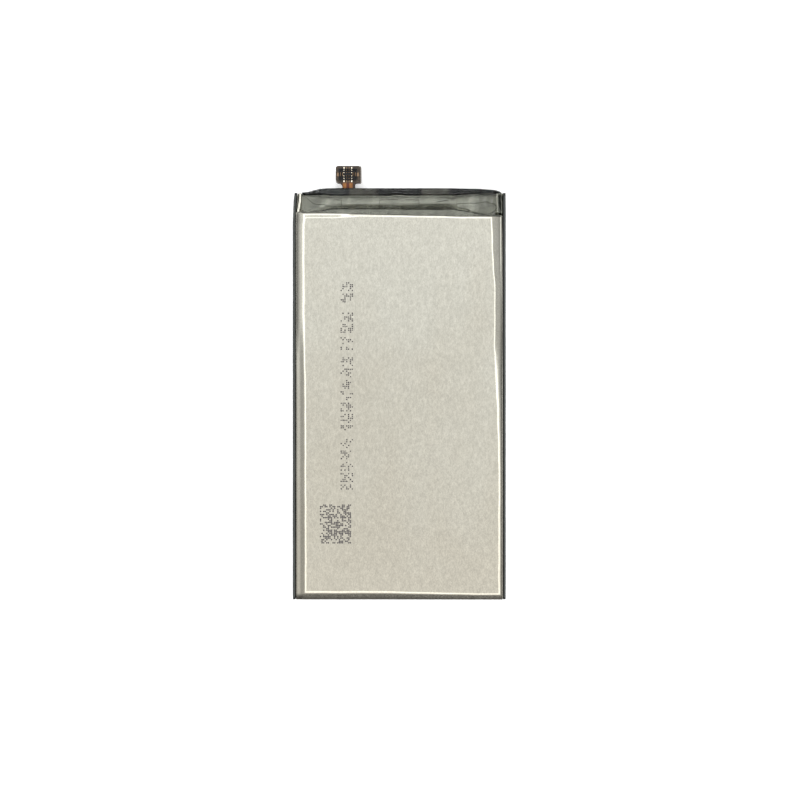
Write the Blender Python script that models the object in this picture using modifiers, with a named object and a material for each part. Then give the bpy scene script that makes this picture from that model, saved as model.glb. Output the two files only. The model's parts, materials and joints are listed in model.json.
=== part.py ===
"""Lithium-ion pouch cell with its protection board and a flexible connector tail.

The cell lies on its label: +Z is up out of the drawn face, +Y runs to the connector end, +X to the right.
The origin is the centre of the underside of the bare cell. Every length is in metres.
Run it with: blender --background --python part.py
"""

import math

import bmesh
import bpy
from mathutils import Vector

MM = 0.001

# ---------------------------------------------------------------- driving dimensions
CELL_WIDTH = 43.6 * MM  # across the two folded side seals
CELL_LENGTH = 83.2 * MM  # bottom fold to the end of the top seal
CELL_THICKNESS = 5.3 * MM  # label to drawn face
FILM = 0.12 * MM  # aluminium laminate
LABEL = 0.08 * MM
SEAM = 0.03 * MM  # gap that keeps two films, welded on the real cell, two solids
FIT = 0.02 * MM  # gap between thin pieces that rest on each other

TOP_END = CELL_LENGTH / 2
BOTTOM_END = -CELL_LENGTH / 2

# ---------------------------------------------------------------- pouch
FLAT_MID_Z = LABEL + FIT + FILM / 2
FLANGE_MID_Z = FLAT_MID_Z + FILM + SEAM
FACE_MID_Z = CELL_THICKNESS - FILM / 2
WALL_FOOT_X = 20.9 * MM
FACE_EDGE_X = 19.55 * MM
FACE_END_Y = 36.2 * MM  # where the drawn face starts to fall to the top seal
TERRACE_Y = 39.45 * MM  # where the slope has reached the top seal
# Share of the draw depth against the distance in from the wall's foot, for the three upright walls.
WALL_PROFILE = [(0.0, 0.0), (0.06, 0.40), (0.15, 0.72), (0.34, 0.88), (0.63, 0.965), (1.0, 1.0)]
# The same for the top wall, which vacuum has pulled in to a slope, from the face down to the seal.
SLOPE_PROFILE = [(0.0, 1.0), (0.12, 0.975), (0.28, 0.90), (0.48, 0.74), (0.65, 0.50), (0.80, 0.20), (0.92, 0.03), (1.0, 0.0)]

# Side seals: both films turn up, lean in over the cell's shoulder and fold back inside, cut edges hidden.
FLAP_OUTER_X = CELL_WIDTH / 2 - FILM / 2
FLAP_CORNER_R = 0.35 * MM
FLAP_LEAN_Z = 3.95 * MM  # where the upright part starts to lean
FLAP_LEAN = 41.5  # degrees from flat
FLAP_LEAN_LENGTH = 0.80 * MM
FLAP_TURN_R = 0.225 * MM
FLAP_END_Z = 2.2 * MM
ARC_STEPS = 4

# ---------------------------------------------------------------- tabs through the top seal
TAB_X = 7.95 * MM
TAB_WIDTH = 5.0 * MM
TAB_THICK = 0.10 * MM
TAB_MID_Z = 0.36 * MM
SEALANT_WIDTH = 7.4 * MM
SEALANT_THICK = 0.06 * MM
EMBOSS = 0.25 * MM  # how far the seal stands up over a tab and its two sealant films
EMBOSS_WIDTH = 7.8 * MM
EMBOSS_RAMP = 0.24 * MM
EMBOSS_START = 0.92  # share of the slope's run where the raised strips begin
TAB_DEEP_Y = 8.0 * MM
SEALANT_Y = (39.35 * MM, 41.95 * MM)

# ---------------------------------------------------------------- wound electrodes
ROLL_MID_Z = 2.67 * MM
ROLL_RADIUS = 2.39 * MM
ROLL_HALF_WIDTH = 20.45 * MM
CORE_RADIUS = 0.26 * MM
ROLL_TURNS = 5.5
SHEETS_IN_PACK = 4
ROLL_SHEET = 0.06 * MM
ROLL_ARC_STEPS = 6
SEPARATOR_Y = (-40.3 * MM, 35.9 * MM)
ANODE_INSET = 0.5 * MM
CATHODE_INSET = 1.2 * MM

# ---------------------------------------------------------------- protection board, on edge past the seal
BOARD_X = (-14.5 * MM, 15.5 * MM)
BOARD_Y = (41.72 * MM, 42.12 * MM)
BOARD_Z = (0.85 * MM, 4.45 * MM)
PLATE_THICK = 0.12 * MM
TAB_UP_Y = BOARD_Y[1] + FIT + PLATE_THICK + FIT + TAB_THICK / 2 + 0.01 * MM
TAB_UP_END_Z = 2.55 * MM

# ---------------------------------------------------------------- wrap over the board, and tape over the whole end
WRAP_THICK = 0.08 * MM
TAPE_THICK = 0.06 * MM
TAPE_CLEARANCE = 0.05 * MM  # between wrap and tape, measured across the ridge
RIDGE_INNER_Y = 40.93 * MM
RIDGE_OUTER_Y = 42.45 * MM
RIDGE_TOP_Z = 4.62 * MM
RIDGE_FOOT_Z = 0.72 * MM
RIDGE_CORNER_R = 0.45 * MM
TAPE_X = (-19.9 * MM, 20.3 * MM)
WRAP_X = (-19.4 * MM, 19.8 * MM)
TAPE_TERRACE_Z = 0.66 * MM
WRAP_END_Z = 0.50 * MM
TAPE_UNDER_Z = 0.05 * MM
TAPE_UNDER_Y = 41.3 * MM
TAPE_UNDER_R = 0.28 * MM
# Along the ridge: x, how far its outer side has come in, how far its inner side has gone out, and its height share.
RIDGE_STATIONS = [
    (-19.9, 0.80, 0.16, 0.16),
    (-18.6, 0.79, 0.12, 0.24),
    (-17.4, 0.74, 0.06, 0.52),
    (-16.2, 0.42, 0.00, 0.86),
    (-15.0, 0.08, 0.00, 1.00),
    (-13.2, 0.02, 0.00, 1.00),
    (-11.0, 0.00, 0.00, 1.00),
    (8.0, 0.00, 0.00, 1.00),
    (13.4, 0.04, 0.00, 1.00),
    (15.7, 0.08, 0.38, 1.00),
    (17.2, 0.38, 0.44, 0.88),
    (18.6, 0.62, 0.50, 0.70),
    (19.8, 0.76, 0.54, 0.50),
    (20.3, 0.80, 0.56, 0.34),
]

# ---------------------------------------------------------------- connector tail
TAIL_X = -10.35 * MM
NECK_WIDTH = 2.65 * MM
FLEX_THICK = 0.12 * MM
FLEX_MID_Z = 2.95 * MM
FLEX_BEND_R = 0.25 * MM
HINGE_Y = 42.95 * MM
HINGE_GAP = 0.16 * MM
HEAD_WIDTH = 5.35 * MM
HEAD_START_Y = 43.42 * MM
HEAD_END_Y = 47.2 * MM
STIFFENER_THICK = 0.20 * MM
SLIT_MARGIN = 0.13 * MM  # round the flex where it leaves the wrap and the tape

HOUSING_X = TAIL_X - 0.18 * MM
HOUSING_CENTRE_Y = 45.42 * MM
HOUSING_LENGTH = 3.70 * MM
HOUSING_DEPTH = 2.30 * MM
HOUSING_HEIGHT = 0.80 * MM
HOUSING_WALL = 0.30 * MM
GROOVE_DEPTH = 0.55 * MM
GROOVE_WIDTH = 0.45 * MM
ISLAND_HEIGHT = 0.47 * MM
CONTACT_PITCH = 0.525 * MM
CONTACTS_IN_ROW = 4
CONTACT_WIDTH = 0.20 * MM
CONTACT_THICK = 0.06 * MM
POWER_CONTACT_WIDTH = 0.80 * MM
SLOT_MARGIN = 0.03 * MM
CONTACT_TAIL = 0.40 * MM  # of a contact outside its wall


# ---------------------------------------------------------------- scene helpers
def clear_scene():
    for obj in list(bpy.data.objects):
        bpy.data.objects.remove(obj)


def new_collection(name):
    made = bpy.data.collections.new(name)
    bpy.context.scene.collection.children.link(made)
    return made


def material(name, colour, roughness, metallic=0.0):
    made = bpy.data.materials.new(name)
    made.use_nodes = True
    shader = made.node_tree.nodes["Principled BSDF"]
    shader.inputs["Base Color"].default_value = (*colour, 1.0)
    shader.inputs["Roughness"].default_value = roughness
    shader.inputs["Metallic"].default_value = metallic
    made.diffuse_color = (*colour, 1.0)
    return made


def object_from(bm, name, finish, collection):
    """A mesh object made from bm, which is freed."""
    bmesh.ops.recalc_face_normals(bm, faces=bm.faces)
    mesh = bpy.data.meshes.new(name)
    bm.to_mesh(mesh)
    bm.free()
    obj = bpy.data.objects.new(name, mesh)
    collection.objects.link(obj)
    if finish:
        mesh.materials.append(finish)
    return obj


def solidify(obj, thickness):
    """Gives an open surface its thickness, half to each side."""
    modifier = obj.modifiers.new("thickness", "SOLIDIFY")
    modifier.thickness = thickness
    modifier.offset = 0.0
    modifier.use_even_offset = True
    return obj


def arc(centre, radius, start, end, steps):
    """Points of an arc in the plane of a profile, from one angle in degrees to another."""
    points = []
    for i in range(steps + 1):
        angle = math.radians(start + (end - start) * i / steps)
        points.append((centre[0] + radius * math.cos(angle), centre[1] + radius * math.sin(angle)))
    return points


def offset_path(points, distance):
    """The path moved to its left by a distance, with its corners mitred."""
    sides = []
    for (y0, z0), (y1, z1) in zip(points, points[1:]):
        length = math.hypot(y1 - y0, z1 - z0)
        sides.append(Vector(((z0 - z1) / length, (y1 - y0) / length)))
    moved = []
    for i, (y, z) in enumerate(points):
        before, after = sides[max(i - 1, 0)], sides[min(i, len(sides) - 1)]
        mitre = (before + after) / (1 + before.dot(after))
        moved.append((y + mitre.x * distance, z + mitre.y * distance))
    return moved


def strip(name, profile, along, span, thickness, finish, collection):
    """A thin strip: an open profile swept straight along "X" (profile in Y, Z) or "Y" (profile in X, Z)."""
    bm = bmesh.new()
    place = (lambda p, s: (s, p[0], p[1])) if along == "X" else (lambda p, s: (p[0], s, p[1]))
    start = [bm.verts.new(place(p, span[0])) for p in profile]
    edges = [bm.edges.new(pair) for pair in zip(start, start[1:])]
    swept = bmesh.ops.extrude_edge_only(bm, edges=edges)["geom"]
    far = [g for g in swept if isinstance(g, bmesh.types.BMVert)]
    step = (span[1] - span[0], 0, 0) if along == "X" else (0, span[1] - span[0], 0)
    bmesh.ops.translate(bm, verts=far, vec=step)
    return solidify(object_from(bm, name, finish, collection), thickness)


def block(name, size, centre, finish, collection, bevel=0.0):
    """A box with softened edges, with its origin at its centre."""
    bm = bmesh.new()
    bmesh.ops.create_cube(bm, size=1.0)
    bmesh.ops.scale(bm, verts=bm.verts, vec=size)
    obj = object_from(bm, name, finish, collection)
    obj.location = centre
    if bevel:
        modifier = obj.modifiers.new("edges", "BEVEL")
        modifier.width = bevel
        modifier.segments = 1
    return obj


def span_block(name, x, y, z, finish, collection, bevel=0.0):
    """A box given by its low and high values on each axis."""
    size = (x[1] - x[0], y[1] - y[0], z[1] - z[0])
    centre = (sum(x) / 2, sum(y) / 2, sum(z) / 2)
    return block(name, size, centre, finish, collection, bevel)


def flat_plate(name, outline, mid_z, thickness, finish, collection):
    """A plate with any outline in X and Y."""
    curve = bpy.data.curves.new(name, "CURVE")
    curve.dimensions = "2D"
    curve.fill_mode = "BOTH"
    curve.extrude = thickness / 2
    spline = curve.splines.new("POLY")
    spline.points.add(len(outline) - 1)
    for point, (x, y) in zip(spline.points, outline):
        point.co = (x, y, 0.0, 1.0)
    spline.use_cyclic_u = True
    obj = bpy.data.objects.new(name, curve)
    obj.location.z = mid_z
    collection.objects.link(obj)
    curve.materials.append(finish)
    return obj


def rounded_corners(corners, steps=4):
    """An outline from (x, y, radius) corners, each rounded with its own radius."""
    points = []
    for i, (x, y, radius) in enumerate(corners):
        here = Vector((x, y))
        before = (Vector(corners[i - 1][:2]) - here).normalized()
        after = (Vector(corners[(i + 1) % len(corners)][:2]) - here).normalized()
        if not radius:
            points.append((x, y))
            continue
        half = before.angle(after) / 2
        start = here + before * radius / math.tan(half)
        end = here + after * radius / math.tan(half)
        for k in range(steps + 1):
            t = k / steps
            p = start * (1 - t) ** 2 + here * 2 * t * (1 - t) + end * t**2
            points.append((p.x, p.y))
    return points


def grid_surface(name, rows, finish, collection, thickness):
    """A film through rows of points: neighbouring rows are joined with four-sided faces."""
    bm = bmesh.new()
    made = [[bm.verts.new(p) for p in row] for row in rows]
    for low, high in zip(made, made[1:]):
        for i in range(len(low) - 1):
            bm.faces.new((low[i], low[i + 1], high[i + 1], high[i]))
    return solidify(object_from(bm, name, finish, collection), thickness)


def cut(obj, cutter):
    modifier = obj.modifiers.new("cut", "BOOLEAN")
    modifier.operation = "DIFFERENCE"
    modifier.solver = "EXACT"
    modifier.object = cutter
    return obj


def as_cutter(obj):
    obj.hide_render = True
    obj.display_type = "WIRE"
    return obj


# ---------------------------------------------------------------- pouch
def folded_flap(inside, sign):
    """Profile of one film of a side seal, from its cut edge back to the flange, in X and Z.

    inside is how far this film lies inside the outer one; sign is -1 on the left.
    """
    lean = math.radians(FLAP_LEAN)
    along = Vector((-math.cos(lean), math.sin(lean)))
    inward = Vector((-math.sin(lean), -math.cos(lean)))
    top = Vector((FLAP_OUTER_X, FLAP_LEAN_Z)) + along * FLAP_LEAN_LENGTH
    turn = top + inward * FLAP_TURN_R
    back = turn + inward * FLAP_TURN_R
    upright_x = FLAP_OUTER_X - 2 * FLAP_TURN_R
    down = (upright_x - back.x) / -along.x
    path = arc((FLAP_OUTER_X - FLAP_CORNER_R, FLAT_MID_Z + FLAP_CORNER_R), FLAP_CORNER_R, -90, 0, ARC_STEPS)
    path.append((FLAP_OUTER_X, FLAP_LEAN_Z))
    path += arc(turn, FLAP_TURN_R, 90 - FLAP_LEAN, 270 - FLAP_LEAN, ARC_STEPS)
    path.append((upright_x, back.y - down * along.y))
    path.append((upright_x, FLAP_END_Z))
    return [(sign * x, z) for x, z in offset_path(path, inside)[::-1]]


def build_pouch(finish, collection):
    flat = folded_flap(0.0, -1) + folded_flap(0.0, 1)[::-1]
    strip("pouch_flat_half", flat, "Y", (BOTTOM_END, TOP_END), FILM, finish, collection)
    grid_surface("pouch_cup_half", cup_rows(), finish, collection, FILM)


def emboss_columns():
    """Columns that carry the raised strips over the tabs: x and share of the emboss."""
    half, ramp = EMBOSS_WIDTH / 2, EMBOSS_RAMP / 2
    right = [
        (TAB_X - half - ramp, 0.0),
        (TAB_X - half + ramp, 1.0),
        (TAB_X + half - ramp, 1.0),
        (TAB_X + half + ramp, 0.0),
    ]
    return [(-x, share) for x, share in right[::-1]] + right


def cup_rows():
    """Middle surface of the drawn film: side seals, upright walls, face, sloped top wall and top seal."""
    run = WALL_FOOT_X - FACE_EDGE_X
    wall = [(WALL_FOOT_X - run * inward, share) for inward, share in WALL_PROFILE]
    left = [(-x, share, 0.0) for x, share in wall]
    middle = [(x, 1.0, raised) for x, raised in emboss_columns()]
    columns = left + middle + [(-x, share, raised) for x, share, raised in left[::-1]]

    foot_y = BOTTOM_END + FILM / 2
    slope = TERRACE_Y - FACE_END_Y
    stations = [(foot_y + run * inward, share, 0.0) for inward, share in WALL_PROFILE]
    for along, share in SLOPE_PROFILE:
        stations.append((FACE_END_Y + slope * along, share, 1.0 if along >= EMBOSS_START else 0.0))
    stations.append((TOP_END - FILM / 2, 0.0, 1.0))

    left_flap = folded_flap(FILM + SEAM, -1)
    right_flap = folded_flap(FILM + SEAM, 1)[::-1]
    depth = FACE_MID_Z - FLANGE_MID_Z
    rows = []
    for y, share_y, on_seal in stations:
        row = [(x, y, z) for x, z in left_flap]
        for x, share_x, raised in columns:
            z = FLANGE_MID_Z + depth * share_x * share_y + EMBOSS * raised * on_seal
            row.append((x, y, z))
        row += [(x, y, z) for x, z in right_flap]
        rows.append(row)
    return rows


def build_label(finish, collection):
    half_x, half_y, radius = 21.3 * MM, 41.2 * MM, 1.0 * MM
    corners = [(-half_x, -half_y, radius), (half_x, -half_y, radius), (half_x, half_y, radius), (-half_x, half_y, radius)]
    flat_plate("label_sheet", rounded_corners(corners), LABEL / 2, LABEL, finish, collection)


# ---------------------------------------------------------------- wound electrodes
def spiral(first_radius, growth):
    """A flat spiral in X and Z: half turns round two centre lines, joined by straight runs."""
    half_length = ROLL_HALF_WIDTH - ROLL_RADIUS
    radius, side, points = first_radius, 1, []
    for _ in range(round(2 * ROLL_TURNS)):
        following = radius + growth / 2
        middle = side * (radius - following) / 2
        mean = (radius + following) / 2
        start = 90 if side > 0 else 270
        turn = arc((side * half_length, ROLL_MID_Z + middle), mean, start, start - 180, ROLL_ARC_STEPS)
        points += turn
        radius, side = following, -side
    return points


def build_roll(finishes, collection):
    spacing = (ROLL_RADIUS - ROLL_SHEET / 2 - CORE_RADIUS) / (ROLL_TURNS * SHEETS_IN_PACK + SHEETS_IN_PACK - 1)
    growth = spacing * SHEETS_IN_PACK
    pack = [
        ("anode_sheet", "anode", ANODE_INSET),
        ("separator_inner", "separator", 0.0),
        ("cathode_sheet", "cathode", CATHODE_INSET),
        ("separator_outer", "separator", 0.0),
    ]
    for place, (name, finish, inset) in enumerate(pack):
        span = (SEPARATOR_Y[0] + inset, SEPARATOR_Y[1] - inset)
        path = spiral(CORE_RADIUS + place * spacing, growth)
        strip(name, path, "Y", span, ROLL_SHEET, finishes[finish], collection)
    tape_z = ROLL_MID_Z + ROLL_RADIUS + FIT
    span_block(
        "roll_end_tape",
        (10.0 * MM, 17.0 * MM),
        (-36.0 * MM, 32.0 * MM),
        (tape_z, tape_z + 0.05 * MM),
        finishes["end_tape"],
        collection,
    )


# ---------------------------------------------------------------- tabs
def tab_path():
    """A tab's middle line in Y and Z: out of the roll's core, down to the seal, through it and up the board."""
    corner = (TAB_UP_Y - 0.3 * MM, TAB_MID_Z + 0.3 * MM)
    return [
        (TAB_DEEP_Y, ROLL_MID_Z),
        (36.4 * MM, ROLL_MID_Z),
        (36.9 * MM, 2.50 * MM),
        (37.5 * MM, 1.90 * MM),
        (38.2 * MM, 0.80 * MM),
        (38.6 * MM, 0.46 * MM),
        (39.1 * MM, TAB_MID_Z),
        *arc(corner, 0.3 * MM, -90, 0, ARC_STEPS),
        (TAB_UP_Y, TAB_UP_END_Z),
    ]


def build_tabs(finishes, collection):
    for name, side in (("negative", -1), ("positive", 1)):
        centre = side * TAB_X
        width = (centre - TAB_WIDTH / 2, centre + TAB_WIDTH / 2)
        strip(f"{name}_tab", tab_path(), "X", width, TAB_THICK, finishes[name], collection)
        wide = (centre - SEALANT_WIDTH / 2, centre + SEALANT_WIDTH / 2)
        gap = 0.01 * MM
        below = TAB_MID_Z - TAB_THICK / 2 - gap
        above = TAB_MID_Z + TAB_THICK / 2 + gap
        back = (below - SEALANT_THICK, below)
        front = (above, above + SEALANT_THICK)
        span_block(f"{name}_tab_sealant_back", wide, SEALANT_Y, back, finishes["sealant"], collection)
        span_block(f"{name}_tab_sealant_front", wide, SEALANT_Y, front, finishes["sealant"], collection)
        over = ROLL_MID_Z + TAB_THICK / 2 + FIT
        wider = (width[0] - 0.5 * MM, width[1] + 0.5 * MM)
        weld_y = (TAB_DEEP_Y, 30.0 * MM)
        weld_z = (over, over + 0.05 * MM)
        span_block(f"{name}_tab_weld_tape", wider, weld_y, weld_z, finishes["end_tape"], collection)


# ---------------------------------------------------------------- protection board
# Name, x and z of the centre, length along x, length along z, height off the board: all in millimetres.
BOARD_PARTS = [
    ("chip_fuse", -12.9, 2.6, 1.6, 0.8, 0.45, "ceramic"),
    ("capacitor_1", -10.9, 3.2, 1.0, 0.5, 0.50, "ceramic"),
    ("capacitor_2", -10.9, 2.0, 1.0, 0.5, 0.50, "ceramic"),
    ("mosfet_charge", -7.8, 2.6, 3.2, 2.4, 0.62, "chip"),
    ("mosfet_discharge", -3.8, 2.6, 3.2, 2.4, 0.62, "chip"),
    ("resistor_1", -1.2, 3.3, 1.0, 0.5, 0.35, "resistor"),
    ("resistor_2", -1.2, 1.9, 1.0, 0.5, 0.35, "resistor"),
    ("protection_ic", 1.3, 2.6, 2.2, 1.8, 0.55, "chip"),
    ("backup_protection_ic", 4.4, 2.6, 2.0, 1.8, 0.55, "chip"),
    ("resistor_3", 6.6, 3.2, 1.0, 0.5, 0.35, "resistor"),
    ("capacitor_3", 6.6, 2.0, 1.0, 0.5, 0.50, "ceramic"),
    ("sense_resistor", 9.0, 2.6, 2.0, 1.25, 0.45, "resistor"),
    ("thermistor", 11.9, 2.6, 1.0, 0.5, 0.50, "ceramic"),
]


def build_board(finishes, collection):
    span_block("protection_board", BOARD_X, BOARD_Y, BOARD_Z, finishes["board"], collection)
    for name, x, z, long, tall, high, finish in BOARD_PARTS:
        size = (long * MM, high * MM, tall * MM)
        centre = (x * MM, BOARD_Y[0] - FIT - high * MM / 2, z * MM)
        block(name, size, centre, finishes[finish], collection, bevel=0.05 * MM)
    plate_y = (BOARD_Y[1] + FIT, BOARD_Y[1] + FIT + PLATE_THICK)
    for name, side in (("negative", -1), ("positive", 1)):
        x = (side * TAB_X - 1.9 * MM, side * TAB_X + 1.9 * MM)
        span_block(f"{name}_weld_plate", x, plate_y, (1.2 * MM, 2.6 * MM), finishes["nickel"], collection)


# ---------------------------------------------------------------- wrap and tape
def ridge_profile(outside, outer_in, inner_out, height, foot_z):
    """Inverted U over the board in Y and Z; outside is how far this layer lies outside the wrap's middle."""
    inner = RIDGE_INNER_Y + inner_out * MM - outside
    outer = RIDGE_OUTER_Y - outer_in * MM + outside
    top = RIDGE_FOOT_Z + (RIDGE_TOP_Z - RIDGE_FOOT_Z) * height + outside
    radius = min(RIDGE_CORNER_R + outside, (outer - inner) * 0.45, (top - foot_z) * 0.8)
    points = [(inner, foot_z)]
    points += arc((inner + radius, top - radius), radius, 180, 90, 3)
    points += arc((outer - radius, top - radius), radius, 90, 0, 3)
    return points


def ridge_shape(x):
    """The ridge's outer side, inner side and height share at x, between its two nearest stations."""
    for low, high in zip(RIDGE_STATIONS, RIDGE_STATIONS[1:]):
        if x <= high[0] * MM or high is RIDGE_STATIONS[-1]:
            share = (x - low[0] * MM) / ((high[0] - low[0]) * MM)
            return [a + (b - a) * share for a, b in zip(low[1:], high[1:])]


def ridge_sections(span):
    """Where a layer of the ridge has its sections: both ends of span and each station between them."""
    inside = [s[0] * MM for s in RIDGE_STATIONS if span[0] + FILM < s[0] * MM < span[1] - FILM]
    return [(x, ridge_shape(x)) for x in (span[0], *inside, span[1])]


def slope_line(lift):
    """Where the tape lies over the sloped wall, in Y and Z, lifted off the film's middle surface."""
    slope, depth = TERRACE_Y - FACE_END_Y, FACE_MID_Z - FLANGE_MID_Z
    film = [(FACE_END_Y + slope * along, FLANGE_MID_Z + depth * share) for along, share in SLOPE_PROFILE[:6]]
    points = offset_path(film, lift)[1:]
    points.append((TERRACE_Y + 0.3 * MM, TAPE_TERRACE_Z + TAPE_THICK / 2))
    return points


def build_wraps(finishes, collection, cutters):
    slit = as_cutter(
        span_block(
            "flex_slit",
            (TAIL_X - NECK_WIDTH / 2 - SLIT_MARGIN, TAIL_X + NECK_WIDTH / 2 + SLIT_MARGIN),
            (RIDGE_OUTER_Y - 0.25 * MM, RIDGE_OUTER_Y + 0.3 * MM),
            (FLEX_MID_Z - FLEX_THICK / 2 - SLIT_MARGIN, FLEX_MID_Z + FLEX_THICK / 2 + SLIT_MARGIN),
            None,
            cutters,
        )
    )
    rows = []
    for x, shape in ridge_sections(WRAP_X):
        profile = ridge_profile(0.0, *shape, RIDGE_FOOT_Z + WRAP_THICK)
        profile.append((profile[-1][0], WRAP_END_Z))
        rows.append([(x, y, z) for y, z in profile])
    wrap = grid_surface("board_wrap", rows, finishes["wrap"], collection, WRAP_THICK)
    cut(wrap, slit)

    outside = (WRAP_THICK + TAPE_THICK) / 2 + TAPE_CLEARANCE
    over_film = FILM / 2 + TAPE_THICK / 2 + FIT
    rows = []
    for x, shape in ridge_sections(TAPE_X):
        profile = slope_line(over_film) + ridge_profile(outside, *shape, TAPE_TERRACE_Z + TAPE_THICK / 2)
        outer = profile[-1][0]
        profile += arc((outer - TAPE_UNDER_R, TAPE_UNDER_Z + TAPE_UNDER_R), TAPE_UNDER_R, 0, -90, 2)
        profile.append((TAPE_UNDER_Y, TAPE_UNDER_Z))
        rows.append([(x, y, z) for y, z in profile])
    tape = grid_surface("end_tape", rows, finishes["tape"], collection, TAPE_THICK)
    cut(tape, slit)


# ---------------------------------------------------------------- connector tail
def head_outline(grow):
    """Outline of the flexible head: the neck, two shoulders and the wide end."""
    half, neck = HEAD_WIDTH / 2 + grow, NECK_WIDTH / 2
    start = HINGE_Y + HINGE_GAP / 2
    return rounded_corners(
        [
            (TAIL_X - neck, start, 0.0),
            (TAIL_X + neck, start, 0.0),
            (TAIL_X + neck, HEAD_START_Y, 0.15 * MM),
            (TAIL_X + half, HEAD_START_Y, 0.35 * MM),
            (TAIL_X + half, HEAD_END_Y, 0.5 * MM),
            (TAIL_X - half, HEAD_END_Y, 0.5 * MM),
            (TAIL_X - half, HEAD_START_Y + 0.45 * MM, 0.2 * MM),
            (TAIL_X - neck - 0.55 * MM, HEAD_START_Y, 0.2 * MM),
            (TAIL_X - neck, HEAD_START_Y - 0.15 * MM, 0.1 * MM),
        ],
        steps=3,
    )


def stiffener_outline():
    half = HEAD_WIDTH / 2 - 0.05 * MM
    low, high = HEAD_START_Y + 0.1 * MM, HEAD_END_Y - 0.05 * MM
    return rounded_corners(
        [
            (TAIL_X - half + 0.6 * MM, low, 0.1 * MM),
            (TAIL_X + half, low, 0.35 * MM),
            (TAIL_X + half, high, 0.5 * MM),
            (TAIL_X - half, high, 0.5 * MM),
            (TAIL_X - half, low + 0.5 * MM, 0.1 * MM),
        ],
        steps=3,
    )


def contact_profile():
    """A contact's middle line: out from the island, in height off the head. It is turned to face each wall."""
    base = CONTACT_THICK / 2 + FIT / 2
    rise = 0.10 * MM
    foot = contact_foot()
    corner = (foot + rise, base + rise)
    return [
        (contact_wall_outside() + CONTACT_TAIL, base),
        *arc(corner, rise, 270, 180, 2),
        (foot, 0.46 * MM),
        (foot + 0.05 * MM, 0.55 * MM),
    ]


def contact_wall_outside():
    return HOUSING_DEPTH / 2


def contact_foot():
    """Where a contact rises in the groove, near the groove's middle."""
    return HOUSING_DEPTH / 2 - HOUSING_WALL - GROOVE_WIDTH * 0.5


def contact_slot(bm, centre, direction, width, reach):
    """Adds to bm the L-shaped prism that clears one contact's way under the wall and up into the groove."""
    foot = contact_foot() + reach
    low, floor = -0.1 * MM, HOUSING_HEIGHT - GROOVE_DEPTH
    inner, outer = foot - 0.10 * MM, foot + 0.16 * MM
    outline = [
        (inner, low),
        (contact_wall_outside() + reach + 0.2 * MM, low),
        (contact_wall_outside() + reach + 0.2 * MM, 0.13 * MM),
        (outer, 0.13 * MM),
        (outer, floor + 0.05 * MM),
        (inner, floor + 0.05 * MM),
    ]
    sideways = Vector((-direction.y, direction.x, 0))
    across = sideways * (width / 2 + SLOT_MARGIN)
    corners = [centre + direction * u + Vector((0, 0, v)) - across for u, v in outline]
    face = bm.faces.new([bm.verts.new(c) for c in corners])
    moved = bmesh.ops.extrude_face_region(bm, geom=[face])["geom"]
    bmesh.ops.translate(bm, verts=[g for g in moved if isinstance(g, bmesh.types.BMVert)], vec=2 * across)


def contact_places():
    """Name, foot of the row, outward direction, width and extra reach of every contact."""
    base = Vector((HOUSING_X, HOUSING_CENTRE_Y, FLEX_MID_Z + FLEX_THICK / 2 + FIT))
    places = []
    number = 1
    for direction in (Vector((0, 1, 0)), Vector((0, -1, 0))):
        for i in range(CONTACTS_IN_ROW):
            x = (i - (CONTACTS_IN_ROW - 1) / 2) * CONTACT_PITCH
            places.append((f"signal_contact_{number}", base + Vector((x, 0, 0)), direction, CONTACT_WIDTH, 0.0))
            number += 1
    reach = (HOUSING_LENGTH - HOUSING_DEPTH) / 2
    for number, sign in ((1, -1), (2, 1)):
        places.append((f"power_contact_{number}", base, Vector((sign, 0, 0)), POWER_CONTACT_WIDTH, reach))
    return places


def build_contact(name, centre, direction, width, reach, finish, collection):
    """A bent strip in the plane of its direction and Z."""
    bm = bmesh.new()
    sideways = Vector((-direction.y, direction.x, 0))
    near = []
    for out, height in contact_profile():
        near.append(bm.verts.new(centre + direction * (out + reach) + Vector((0, 0, height)) - sideways * width / 2))
    edges = [bm.edges.new(pair) for pair in zip(near, near[1:])]
    swept = bmesh.ops.extrude_edge_only(bm, edges=edges)["geom"]
    bmesh.ops.translate(bm, verts=[g for g in swept if isinstance(g, bmesh.types.BMVert)], vec=sideways * width)
    return solidify(object_from(bm, name, finish, collection), CONTACT_THICK)


def build_housing(finish, collection, cutters):
    """Moulded socket: a wall round a groove, with an island in the middle, and slots for the contacts."""
    bm = bmesh.new()
    bmesh.ops.create_cube(bm, size=1.0)
    bmesh.ops.scale(bm, verts=bm.verts, vec=(HOUSING_LENGTH, HOUSING_DEPTH, HOUSING_HEIGHT))
    top = max(bm.faces, key=lambda f: f.calc_center_median().z)
    bmesh.ops.inset_region(bm, faces=[top], thickness=HOUSING_WALL, use_even_offset=True)
    groove = bmesh.ops.extrude_discrete_faces(bm, faces=[top])["faces"][0]
    bmesh.ops.translate(bm, verts=groove.verts, vec=(0, 0, -GROOVE_DEPTH))
    bmesh.ops.inset_region(bm, faces=[groove], thickness=GROOVE_WIDTH, use_even_offset=True)
    island = bmesh.ops.extrude_discrete_faces(bm, faces=[groove])["faces"][0]
    bmesh.ops.translate(bm, verts=island.verts, vec=(0, 0, ISLAND_HEIGHT))
    housing = object_from(bm, "connector_housing", finish, collection)
    base_z = FLEX_MID_Z + FLEX_THICK / 2 + FIT
    housing.location = (HOUSING_X, HOUSING_CENTRE_Y, base_z + HOUSING_HEIGHT / 2)

    slots = bmesh.new()
    for _, centre, direction, width, reach in contact_places():
        contact_slot(slots, centre, direction, width, reach)
    cut(housing, as_cutter(object_from(slots, "contact_slots", None, cutters)))
    return housing


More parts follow.
